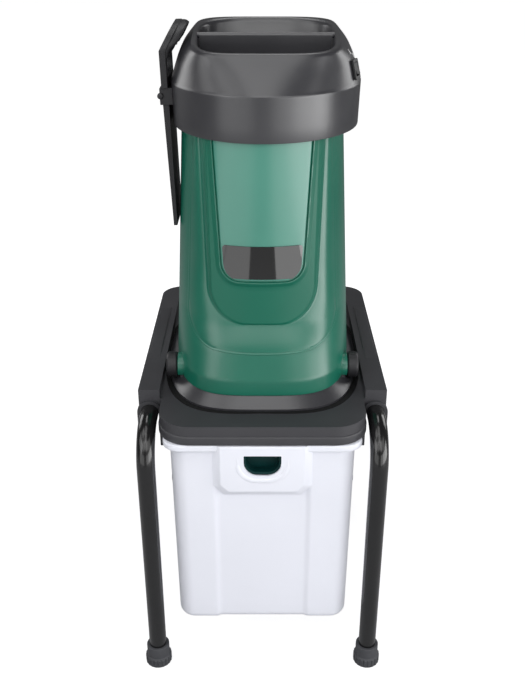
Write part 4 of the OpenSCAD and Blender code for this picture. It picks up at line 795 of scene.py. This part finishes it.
def makeGuardEdge():
    # the guard's top rises and gets a thick rounded edge
    skin = bpy.data.objects["feed_guard_skin"].data
    top, half, under = max(v.co.z for v in skin.vertices), guard["half"], guard["under"]
    for v in skin.vertices:
        if v.co.z > top - guard["rim"]:
            v.co.z += guard["rise"] * mm
    upper = [v.co / mm for v in skin.vertices if v.co.z > top]
    y0 = sum(v.y for v in upper) / len(upper)
    x0, x1 = min(v.x for v in upper) - guard["reach"], max(v.x for v in upper) + guard["reach"]
    z0 = top / mm + guard["rise"] + guard["over"] - half
    profile = arc(half, 0, 180, guard["steps"]) + [
        (-half, -under / 2), (-half / 2, -under), (half / 2, -under), (half, -under / 2)]
    rings = [[(mix(x0, x1, k / guard["lengths"]), y0 + u, z0 + v) for u, v in profile]
             for k in range(guard["lengths"] + 1)]
    addRings("guardEdge", rings, False, "greyMoulding", "upper_housing", (), 50)
    print("guard edge from", round(x0), "to", round(x1), "at", round(y0, 1), round(z0, 1))


axleEnds = {"from": 0.1893, "share": 0.2}


def tuckAxle():
    # the axle's ends and caps lie flat against the legs
    for name in ("axle_caps_skin", "wheel_axle_skin"):
        for v in bpy.data.objects[name].data.vertices:
            over = abs(v.co.x) - axleEnds["from"]
            if over > 0:
                v.co.x = math.copysign(axleEnds["from"] + axleEnds["share"] * over, v.co.x)


makeGuardEdge()
tuckAxle()

# trim on the deck, and a painted shadow band round the collar
deckTrim = {"frontY": -250.0, "halfWide": 156.0, "corner": 50.0, "sideY": -171.0, "lipLow": 430.3,
            "lipHigh": 444.5, "lipOut": 2.0, "lipIn": -1.5, "gapShadowInset": -13.5, "gapShadowLow": 460.6,
            "gapShadowHigh": 461.9, "gapShadowFront": 4.5, "gapShadowCorner": 8.0, "gapShadowSide": 158.2, "padIn": 168.5,
            "padOut": 188.5, "padFront": -60.0, "padRear": 152.0, "padBase": 476.7, "padHigh": 1.5,
            "padRamp": 70, "padRows": 40, "padEdge": ((0, 0), (0.15, 0.5), (0.6, 0.85), (1.3, 1.0))}


def makeApronLip():
    half, front, r = deckTrim["halfWide"], deckTrim["frontY"], deckTrim["corner"]
    path = [((-half, mix(deckTrim["sideY"], front + r, k / 6)), (-1, 0)) for k in range(6)]
    path += [((r - half + r * u, front + r + r * v), (u, v)) for u, v in arc(1, 180, 90, 16)]
    corner = len(path)
    path += [((mix(r - half, half - r, k / 8), front), (0, -1)) for k in range(1, 8)]
    path += [((-x, y), (-nx, ny)) for (x, y), (nx, ny) in reversed(path[:corner])]
    low, high, out, back = deckTrim["lipLow"], deckTrim["lipHigh"], deckTrim["lipOut"], deckTrim["lipIn"]
    profile = [(back, low), (out - 0.7, low), (out - 0.2, low + 0.3), (out, low + 1.0), (out, high - 2.6),
               (out - 0.25, high - 1.5), (out - 0.8, high - 0.7), (out - 1.7, high - 0.15), (back, high)]
    rings = []
    for i, ((x, y), (nx, ny)) in enumerate(path):
        ends = min(1.0, min(i, len(path) - 1 - i) / 5)
        ring = [(o if o < 0 else o * ends - 0.4 * (1 - ends), z) for o, z in profile]
        rings.append([(x + nx * o, y + ny * o, z) for o, z in ring])
    addRings("apronLip", rings, False, "deckGrey", "stand", (), 50)


# a near-black band round the collar's foot, standing for the shadow in the gap under it: painted shadow
def makeCollarGapShadow():
    seat, inset, side = housing["seat"], deckTrim["gapShadowInset"], deckTrim["gapShadowSide"]
    inner, outer = housingPlan(seat, inset), []
    for (x, y), (x1, y1) in zip(housingPlan(seat, inset - 1.5), housingPlan(seat, inset - 2.5)):
        wide = mix(deckTrim["gapShadowFront"], deckTrim["gapShadowCorner"], abs(math.sin(2 * math.atan2(y, x))))
        x, y = x + (x1 - x) * wide, y + (y1 - y) * wide
        outer.append((max(-side, min(side, x)), y))
    low, high = deckTrim["gapShadowLow"], deckTrim["gapShadowHigh"]
    shrunk = [(mix(a[0], b[0], 0.08), mix(a[1], b[1], 0.08)) for a, b in zip(outer, inner)]
    rings = [lift(inner, low), lift(outer, low), lift(outer, high - 0.4), lift(shrunk, high),
             lift(inner, high)]
    addRings("collarSeal", rings, True, "gapShadowBlack", "stand", (), 50)


def makeRailPads():
    inX, outX, base, shape = deckTrim["padIn"], deckTrim["padOut"], deckTrim["padBase"], deckTrim["padEdge"]
    across = [(inX + u, v) for u, v in shape] + [(outX - u, v) for u, v in reversed(shape)]
    for side, name in ((-1, "railPadLeft"), (1, "railPadRight")):
        rings, rows = [], deckTrim["padRows"]
        for i in range(rows + 1):
            y = mix(deckTrim["padFront"], deckTrim["padRear"], i / rows)
            high = (deckTrim["padHigh"] * smooth((y - deckTrim["padFront"]) / deckTrim["padRamp"])
                    * min(1.0, 0.15 + (rows - i) * 0.4))
            rings.append([(side * x, y, base + 0.1 + (0.3 + high) * v) for x, v in across]
                         + [(side * outX, y, base), (side * inX, y, base)])
        addRings(name, rings, False, "deckGrey", "stand", (), 50)


makeApronLip()
makeCollarGapShadow()
makeRailPads()
print("deck trim made")

# pad and ribs on the plunger's grip and a round head on its holder
grip = {"inX": -138.6, "pivotZ": 904.0, "lean": 1.4, "bendZ": 956.3, "bend": 30.0, "front": -28.0,
        "peak": 38.2, "rear": 68.0, "ribs": 11, "ribFrom": 14, "ribTo": 150, "ribWide": 1.1, "ribHigh": 1.2,
        "stretch": 0.2, "padArch": 35.4, "padLow": 945.0, "padThin": 5.0, "padHigh": 13.0, "padRise": 25.0,
        "padRound": 7.0, "padSink": 1.2, "padGap": 0.3, "rows": 26, "columns": 34}
ribSpine = (0.5, 0.54, 0.68, 0.82, 0.9, 0.95)
ribProfile = ((-1, -0.6), (-0.8, 0.5), (-0.35, 0.95), (0.35, 0.95), (0.8, 0.5), (1, -0.6))
holderHead = {"at": (-11.5, -28.6, 893), "sides": 24,
              "profile": ((4.6, 0.0), (4.6, 1.4), (4.4, 2.0), (3.9, 2.6), (3.0, 3.1), (1.6, 3.4), (0.5, 3.5))}


def atPlunger(x, y, z):
    a = math.radians(grip["lean"])
    up = z - grip["pivotZ"]
    return (grip["inX"] + x * math.cos(a) - up * math.sin(a), y,
            grip["pivotZ"] + x * math.sin(a) + up * math.cos(a))


def innerFace(z):
    # the grip's inner face, straight up to the bend and then leaning over the hood
    return max(0.0, z - grip["bendZ"]) * math.tan(math.radians(grip["bend"]))


def gripSpan(z):
    t = max(0.0, z - grip["bendZ"]) / grip["padArch"]
    c = math.sqrt(max(0.0, 1 - t * t))
    return grip["peak"] - (grip["peak"] - grip["front"]) * c, grip["peak"] + (grip["rear"] - grip["peak"]) * c


def padHeight(y, z):
    low, high = gripSpan(z)
    border = min(y - low, high - y, z - grip["padLow"], grip["bendZ"] + grip["padArch"] - z)
    t = min(1.0, max(0.0, border / grip["padRound"]))
    full = mix(grip["padThin"], grip["padHigh"], smooth((z - grip["padLow"]) / grip["padRise"]))
    return full * math.sqrt(1 - (1 - t) ** 2)


def makeGripPad():
    # soft pad on the inner side of the grip
    rows, cols, points = grip["rows"], grip["columns"], []
    for layer in (0, 1):
        for i in range(rows + 1):
            z = mix(grip["padLow"], grip["bendZ"] + grip["padArch"] - grip["padGap"], eased(i / rows))
            low, high = gripSpan(z)
            for j in range(cols + 1):
                y = mix(low, high, eased(j / cols))
                h = padHeight(y, z) if layer else -grip["padSink"]
                points.append(atPlunger(innerFace(z) + h, y, z))
    n, stride, under = len(points) // 2, cols + 1, gridFaces(rows, cols)
    faces = under + [tuple(n + i for i in reversed(f)) for f in under]
    rim = list(range(cols)) + [i * stride + cols for i in range(rows)]
    rim += [rows * stride + j for j in range(cols, 0, -1)] + [i * stride for i in range(rows, 0, -1)]
    faces += [(a, b, n + b, n + a) for a, b in zip(rim, rim[1:] + rim[:1])]
    addPiece("gripPad", points, faces, "blackMoulding", "pusher", (), 60)


def makeGripRibs():
    points, faces = [], []
    for k in range(grip["ribs"]):
        a = math.radians(mix(grip["ribFrom"], grip["ribTo"], k / (grip["ribs"] - 1)))
        reach = grip["peak"] - grip["front"] if a < math.pi / 2 else grip["rear"] - grip["peak"]
        spine = [(grip["peak"] - reach * math.cos(a) * f, grip["bendZ"] + grip["padArch"] * math.sin(a) * f)
                 for f in ribSpine]
        along = Vector((spine[-1][0] - spine[0][0], spine[-1][1] - spine[0][1])).normalized()
        start = len(points)
        for m, (y, z) in enumerate(spine):
            end = 0.4 if m in (0, len(spine) - 1) else 1.0
            for u, v in ribProfile:
                w = u * grip["ribWide"] * end
                py, pz = y - along[1] * w, z + along[0] * w
                h = v * grip["ribHigh"] * (end if v > 0 else 1)
                points.append(atPlunger(innerFace(pz) + padHeight(y, z) + h, py, pz))
        faces += [tuple(start + i for i in f) for f in capped(len(ribSpine), len(ribProfile))]
    addPiece("gripRibs", points, faces, "blackMoulding", "pusher", (), 40)


def makeHolderHead():
    # domed head at the front outer corner of the holder
    x, y, z = atPlunger(*holderHead["at"])
    rings = [[(x + u, y - out, z + v) for u, v in ellipse(r, r, holderHead["sides"])]
             for r, out in holderHead["profile"]]
    addRings("holderHead", rings, False, "blackMoulding", "upper_housing", (), 50)


def stretchGrip():
    # the arch of the plunger's skin rises a little further along its lean
    lean = math.tan(math.radians(grip["bend"])) - math.tan(math.radians(grip["lean"]))
    for v in bpy.data.objects["plunger_skin"].data.vertices:
        rise = (v.co.z / mm - grip["bendZ"]) * grip["stretch"]
        if rise > 0:
            v.co.z += rise * mm
            v.co.x += rise * lean * mm


stretchGrip()
makeGripPad()
makeGripRibs()
makeHolderHead()
print("plunger trim made")

# on and off marks by the switch, at their pixels in the camera's picture
marks = {"onAt": (349.5, 51.5), "offAt": (353.2, 55.0), "high": 8.0, "wide": 6.0, "stroke": 2.0, "proud": 0.3,
         "sunk": -0.6, "sides": 36}


def onHood(pixel):
    # the point of the hood that the camera sees at a pixel
    tilt = math.radians(camera["tiltDown"])
    ahead, up = Vector((0, math.cos(tilt), -math.sin(tilt))), Vector((0, math.sin(tilt), math.cos(tilt)))
    across, above = pixel[0] - camera["imageWidth"] / 2, camera["imageHeight"] / 2 - pixel[1]
    ray = ahead * camera["focalPixels"] + Vector((across, 0, 0)) + up * above
    tree = BVHTree.FromObject(bpy.data.objects["hoodShell"], bpy.context.evaluated_depsgraph_get())
    return tree.ray_cast(Vector(camera["at"]), ray.normalized())[:2]


def makeMarks():
    half, wide, stroke, count = marks["high"] / 2, marks["wide"] / 2, marks["stroke"], marks["sides"]
    bar = roundOutline(stroke, marks["high"], stroke / 2 - 0.05, 5)
    outer, inner = ellipse(wide, half, count), ellipse(wide - stroke, half - stroke, count)
    for name, pixel in (("markOn", marks["onAt"]), ("markOff", marks["offAt"])):
        spot, normal = onHood(pixel)
        if normal is None:
            continue
        up = (Vector((0, 0, 1)) - normal * normal.z).normalized()
        side = up.cross(normal).normalized()

        def place(u, v, d):
            return tuple((spot + (side * u + up * v + normal * d) * mm) / mm)
        if name == "markOn":
            addPiece(name, *prism(bar, marks["sunk"], marks["proud"], place), "markWhite", "upper_housing",
                     (), 40)
        else:
            loops = [[place(u, v, d) for u, v in line] for line, d in (
                (outer, marks["sunk"]), (outer, marks["proud"]), (inner, marks["proud"]),
                (inner, marks["sunk"]))]
            addRings(name, loops, True, "markWhite", "upper_housing", (), 40)


makeMarks()
print("marks made")

# leg tubes
legs = {"x": 175.0, "radius": 14.0, "frontY": -246.0, "rearY": 197.0, "bend": 56.0, "runZ": 440.0,
        "bendSteps": 24, "frontZ": (6.0, 60, 200, 330), "runY": (-150, -60, 40, 120),
        "rearZ": (300, 150, 56.0), "sides": 40}


def legPath(x):
    r, z, front, rear = legs["bend"], legs["runZ"] - legs["bend"], legs["frontY"], legs["rearY"]
    bend = arc(r, 0, 90, legs["bendSteps"])
    path = [(x, front, low) for low in legs["frontZ"]] + [(x, front + r - u, z + v) for u, v in bend]
    path += [(x, y, legs["runZ"]) for y in legs["runY"]] + [(x, rear - r + v, z + u) for u, v in bend]
    return path + [(x, rear, low) for low in legs["rearZ"]]


for side, name, node in ((-1, "tubeLeft", "leg_tube_left"), (1, "tubeRight", "leg_tube_right")):
    sweep(name, legPath(side * legs["x"]), legs["radius"], "tubeLacquer", "stand", (node,), legs["sides"])
print("tubes made")

# collection box; the rim's steps are height, then how far it stands out at the sides, front and rear
box = {"topHalf": 140.0, "lowHalf": 137.0, "front": 245.0, "rear": 113.0, "taper": 3.0, "low": 85.0,
       "corner": 26.0, "floorRound": 14.0, "wall": 3.0, "rimTop": 429.4, "rimHeight": 11.5,
       "recessHalf": 67.0, "recess": 3.0, "slant": 7.5, "wallLevels": (120, 160, 200, 240, 280, 320),
       "upperLevel": 380,
       "rimUnder": ((-0.4, 0.5, 0.3, 0), (0, 1.4, 0.9, 0), (0.2, 7.6, 3.8, 0), (0.7, 9.1, 5.2, 0),
                    (1.6, 9.8, 5.8, 0), (3, 10, 6, 0)),
       "rimOver": ((-3, 10, 6, 0), (-1.4, 9.7, 5.7, 0), (-0.5, 9.0, 5.0, -0.6), (0, 7.8, 3.8, -1.5),
                   (0, -1.2, -1.2, -2), (-0.8, -2, -2, -2))}
# lock housing on the box, its finger opening, the room behind and the slot for the lock's tongue
lock = {"height": 80.0, "half": 64.0, "out": 10.0, "backY": 230.0, "spread": 11.5, "cut": 12, "edge": 1.2,
        "bevel": 2.2, "bevelFrom": 20, "bevelY": -0.246, "down": 32, "mouth": (56, 35), "mouthDown": 18.5,
        "mouthY": (-262, -248), "roomHalf": 33, "roomZ": (-25.1, 22.1), "roomY": (-252, -233),
        "tongueHalf": 17.6, "tongueY": (-241.6, -236.4), "tongueZ": (20, 6), "ring": (75, 47),
        "ringDown": 27.5, "ringRadius": 2.0, "ringSink": 0.4, "ringSides": 10}


def boxRing(half, front, rear, r, dent, z):
    def corner(cx, cy, start):
        return [(cx + u, cy + v, z) for u, v in arc(r, start, 90, 12)]
    ring, reach = corner(r - half, r - front, 180), box["recessHalf"] + box["slant"]
    for k in range(61):
        x = mix(-reach - 3, reach + 3, k / 60)
        ring.append((x, dent * smooth((reach - abs(x)) / box["slant"]) - front, z))
    ring += corner(half - r, r - front, 270) + corner(half - r, rear - r, 0)
    return ring + corner(r - half, rear - r, 90)


def boxWall(z, inset, dent):
    t = (z - box["low"]) / (box["rimTop"] - box["rimHeight"] - box["low"])
    draw = box["taper"] * (1 - t)
    return boxRing(mix(box["lowHalf"], box["topHalf"], t) - inset, box["front"] - draw - inset,
                   box["rear"] - draw - inset, box["corner"] - min(inset, box["floorRound"]), dent, z)


def boxFloor(angles, inset):
    # the rounded step from wall to floor
    rings, r = [], box["floorRound"]
    for a in (math.radians(angle) for angle in angles):
        z = box["low"] + inset + r * (1 - math.cos(a))
        rings.append(boxWall(z, inset + r * (1 - math.sin(a)), box["recess"]))
    return rings


def boxRim(z, side, front, rear):
    return boxRing(box["topHalf"] + side, box["front"] + front, box["rear"] + rear,
                   box["corner"] + min(side, rear), 0, z)


def latchOutline(w, h, low, steps=14):
    # flat on top, round below
    r = 0.62 * h
    bend = arc(r, 0, 90, steps)
    outline = [(-w / 2 + 1.2, low + h), (-w / 2 + 0.35, low + h - 0.35), (-w / 2, low + h - 1.2)]
    outline += [(-w / 2 + r - u, low + r - v) for u, v in bend]
    outline += [(w / 2 - r + v, low + r - u) for u, v in bend]
    return outline + [(w / 2, low + h - 1.2), (w / 2 - 0.35, low + h - 0.35), (w / 2 - 1.2, low + h)]


def lockHouse(houseLow):
    # slanted sides and cut lower corners
    front, top, rings = box["front"] + lock["out"], box["rimTop"], []
    for grow, y, inset in ((lock["spread"], -lock["backY"], 0), (lock["spread"], 0.6 - box["front"], 0),
                           (0.6, lock["edge"] - front, 0), (0.0, -front, lock["edge"])):
        cut, half, low = lock["cut"] + 0.4 * grow, lock["half"] + grow - inset, houseLow - grow + inset
        outline = [(-half, top - inset), (-half, low + cut), (cut - half, low), (half - cut, low),
                   (half, low + cut), (half, top - inset)]
        rings.append([(x, y, z) for x, z in outline])
    house = toolMesh("houseTool", [p for r in rings for p in r], capped(len(rings), len(rings[0])))
    with editing(house.data) as work:
        hard = [e for e in work.edges if e.is_manifold
                and e.calc_face_angle() > math.radians(lock["bevelFrom"])
                and all(v.co.y < lock["bevelY"] for v in e.verts)]
        bevelEdges(work, hard, lock["bevel"], 4, False)
    return house


def makeBox():
    rimLow, top, wall, dent = box["rimTop"] - box["rimHeight"], box["rimTop"], box["wall"], box["recess"]
    houseLow = top - lock["height"]
    recessTop = houseLow + 6
    rings = boxFloor(range(0, 91, 9), 0)
    rings += [boxWall(z, 0, dent) for z in (*box["wallLevels"], recessTop - 2)]
    rings += [boxWall(recessTop + 3 * t, 0, dent * (1 - smooth(t))) for t in (0, 0.25, 0.5, 0.75, 1)]
    rings += [boxWall(box["upperLevel"], 0, 0), boxWall(rimLow - 1.5, 0, 0)]
    rings += [boxRim(rimLow + up, *out) for up, *out in box["rimUnder"]]
    rings += [boxRim(top + up, *out) for up, *out in box["rimOver"]]
    rings += [boxWall(rimLow, wall, 0), boxWall(recessTop + 4, wall, 0), boxWall(recessTop + 1, wall, dent)]
    rings += boxFloor(range(90, -1, -15), wall)
    piece = addRings("boxShell", rings, False, "boxWhite", "box", ("collection_box", "lock_housing"), 40)
    print("box shell made")
    cutWith(piece, [lockHouse(houseLow)], "UNION")
    lockZ = top - lock["down"]
    mouth = latchOutline(*lock["mouth"], lockZ - lock["mouthDown"])
    room = rectangle(-lock["roomHalf"], lock["roomHalf"], lockZ + lock["roomZ"][0], lockZ + lock["roomZ"][1])
    tongue = rectangle(-lock["tongueHalf"], lock["tongueHalf"], *lock["tongueY"])
    tongueDepth = lockZ + lock["tongueZ"][0], top + lock["tongueZ"][1]
    cutWith(piece, [cutter("mouthTool", mouth, lock["mouthY"], alongY),
                    cutter("roomTool", room, lock["roomY"], alongY),
                    cutter("tongueTool", tongue, tongueDepth, alongZ)])
    shade(piece.data, 40)
    # soft raised ring round the finger opening
    ring = latchOutline(*lock["ring"], lockZ - lock["ringDown"])[2:-2]
    bead(ring, lock["ringRadius"], lock["ringSink"] - box["front"] - lock["out"], "latchRing")
    print("lock housing made")


def bead(outline, radius, y, name):
    # half-round bead along an open outline on the lock housing's face
    rings, sides, last = [], lock["ringSides"], len(outline) - 1
    for i, (x, z) in enumerate(outline):
        before, after = outline[max(0, i - 1)], outline[min(last, i + 1)]
        dx, dz = after[0] - before[0], after[1] - before[1]
        length = math.hypot(dx, dz) or 1
        r = radius * min(1.0, 0.25 + 0.25 * min(i, last - i))
        section = [(2.0 * u / length, 0.75 * v) for u, v in arc(r, 0, 180, sides)]
        rings.append([(x - dz * across, y - raised, z + dx * across) for across, raised in section])
    addRings(name, rings, False, "boxWhite", "box", (), 60)


makeBox()

# light, floor and backdrop
stage = {"world": 0.03, "floorGlow": 0.8, "mirrored": 0.08, "fadeFrom": 0.35, "fadeTo": 1.2,
         "aim": (0, -0.1, 0.65), "away": 2.3, "lampSize": 1.0, "floorHalf": 12,
         "floorTone": (0.42, 0.42, 0.43, 1), "floorRough": 0.9, "white": (1, 1, 1, 1)}
# soft square lamps on a sphere round the object: turn from the front, height angle, power
lamps = {
    "lowLeft": (-50, -2, 4.3), "lowFrontLeft": (-25, -2, 4.0), "lowFront": (0, -2, 0.8),
    "lowFrontRight": (25, -2, 6.0), "lowRight": (50, -2, 13.0), "lowFarRight": (75, -2, 16.0),
    "midFarLeft": (-75, 22, 4.6), "midLeft": (-50, 22, 8.0), "midFrontLeft": (-25, 32, 4.6),
    "midFront": (0, 36, 4.6), "midFrontRight": (25, 32, 6.2), "midRight": (55, 26, 4.0),
    "highLeft": (-62, 54, 5.2), "highFront": (0, 56, 5.2), "overhead": (-10, 78, 5.0),
    "behind": (180, 64, 9.0), "behindLeft": (-125, 14, 8.0), "behindRight": (125, 14, 8.0),
}
for name, (turn, rise, power) in lamps.items():
    a, e = math.radians(turn), math.radians(rise)
    out = Vector((math.sin(a) * math.cos(e), -math.cos(a) * math.cos(e), math.sin(e)))
    data = bpy.data.lights.new(name, "AREA")
    data.shape, data.size, data.size_y, data.energy = "RECTANGLE", stage["lampSize"], stage["lampSize"], power
    lamp = bpy.data.objects.new(name, data)
    lamp.location = Vector(stage["aim"]) + stage["away"] * out
    lamp.rotation_euler = (Vector(stage["aim"]) - lamp.location).to_track_quat("-Z", "Y").to_euler()
    scene.collection.objects.link(lamp)


def seenPlainly(tree):
    # 1 where the eye or a clear piece looks at the backdrop, less where a reflection does
    paths = addNode(tree, "LightPath")
    clear = addNode(tree, "Math", operation="MAXIMUM")
    both = addNode(tree, "Math", {1: stage["mirrored"]}, operation="MULTIPLY_ADD")
    join(tree, (paths, "Is Camera Ray", clear, 0), (paths, "Is Transmission Ray", clear, 1),
         (paths, "Is Glossy Ray", both, 0), (clear, "Value", both, 2))
    return both


world = bpy.data.worlds.new("softStudio")
scene.world = world
world.use_nodes = True
tree = world.node_tree
tree.nodes.clear()
soft = addNode(tree, "Background", {"Color": stage["white"], "Strength": stage["world"]})
white = addNode(tree, "Background", {"Color": stage["white"], "Strength": 1.0})
choose, output = addNode(tree, "MixShader"), addNode(tree, "OutputWorld")
join(tree, (seenPlainly(tree), "Value", choose, "Fac"), (soft, "Background", choose, 1),
     (white, "Background", choose, 2), (choose, "Shader", output, "Surface"))

half = stage["floorHalf"]
floorMesh = bpy.data.meshes.new("studioFloor")
floorMesh.from_pydata([(x, y, 0) for x, y in rectangle(-half, half, -half, half)], [], [(0, 1, 2, 3)])
floor = bpy.data.objects.new("studioFloor", floorMesh)
scene.collection.objects.link(floor)
floorLook = bpy.data.materials.new("studioFloor")
floorLook.use_nodes = True
tree = floorLook.node_tree
shader = tree.nodes["Principled BSDF"]
setSockets(shader, {"Base Color": stage["floorTone"], "Roughness": stage["floorRough"],
                    "Specular IOR Level": 0.0, "Emission Color": stage["white"]})
# the floor's glow grows with the distance from the object
place, reach = addNode(tree, "NewGeometry"), addNode(tree, "VectorMath", operation="LENGTH")
fade = addNode(tree, "MapRange", {"From Min": stage["fadeFrom"], "From Max": stage["fadeTo"],
                                  "To Min": stage["floorGlow"], "To Max": 1.0},
               interpolation_type="SMOOTHSTEP")
glow = addNode(tree, "Math", operation="MULTIPLY")
join(tree, (place, "Position", reach, 0), (reach, "Value", fade, "Value"), (fade, "Result", glow, 1),
     (seenPlainly(tree), "Value", glow, 0), (glow, "Value", shader, "Emission Strength"))
floorMesh.materials.append(floorLook)

scene.view_settings.view_transform = "Standard"
print("stage set")
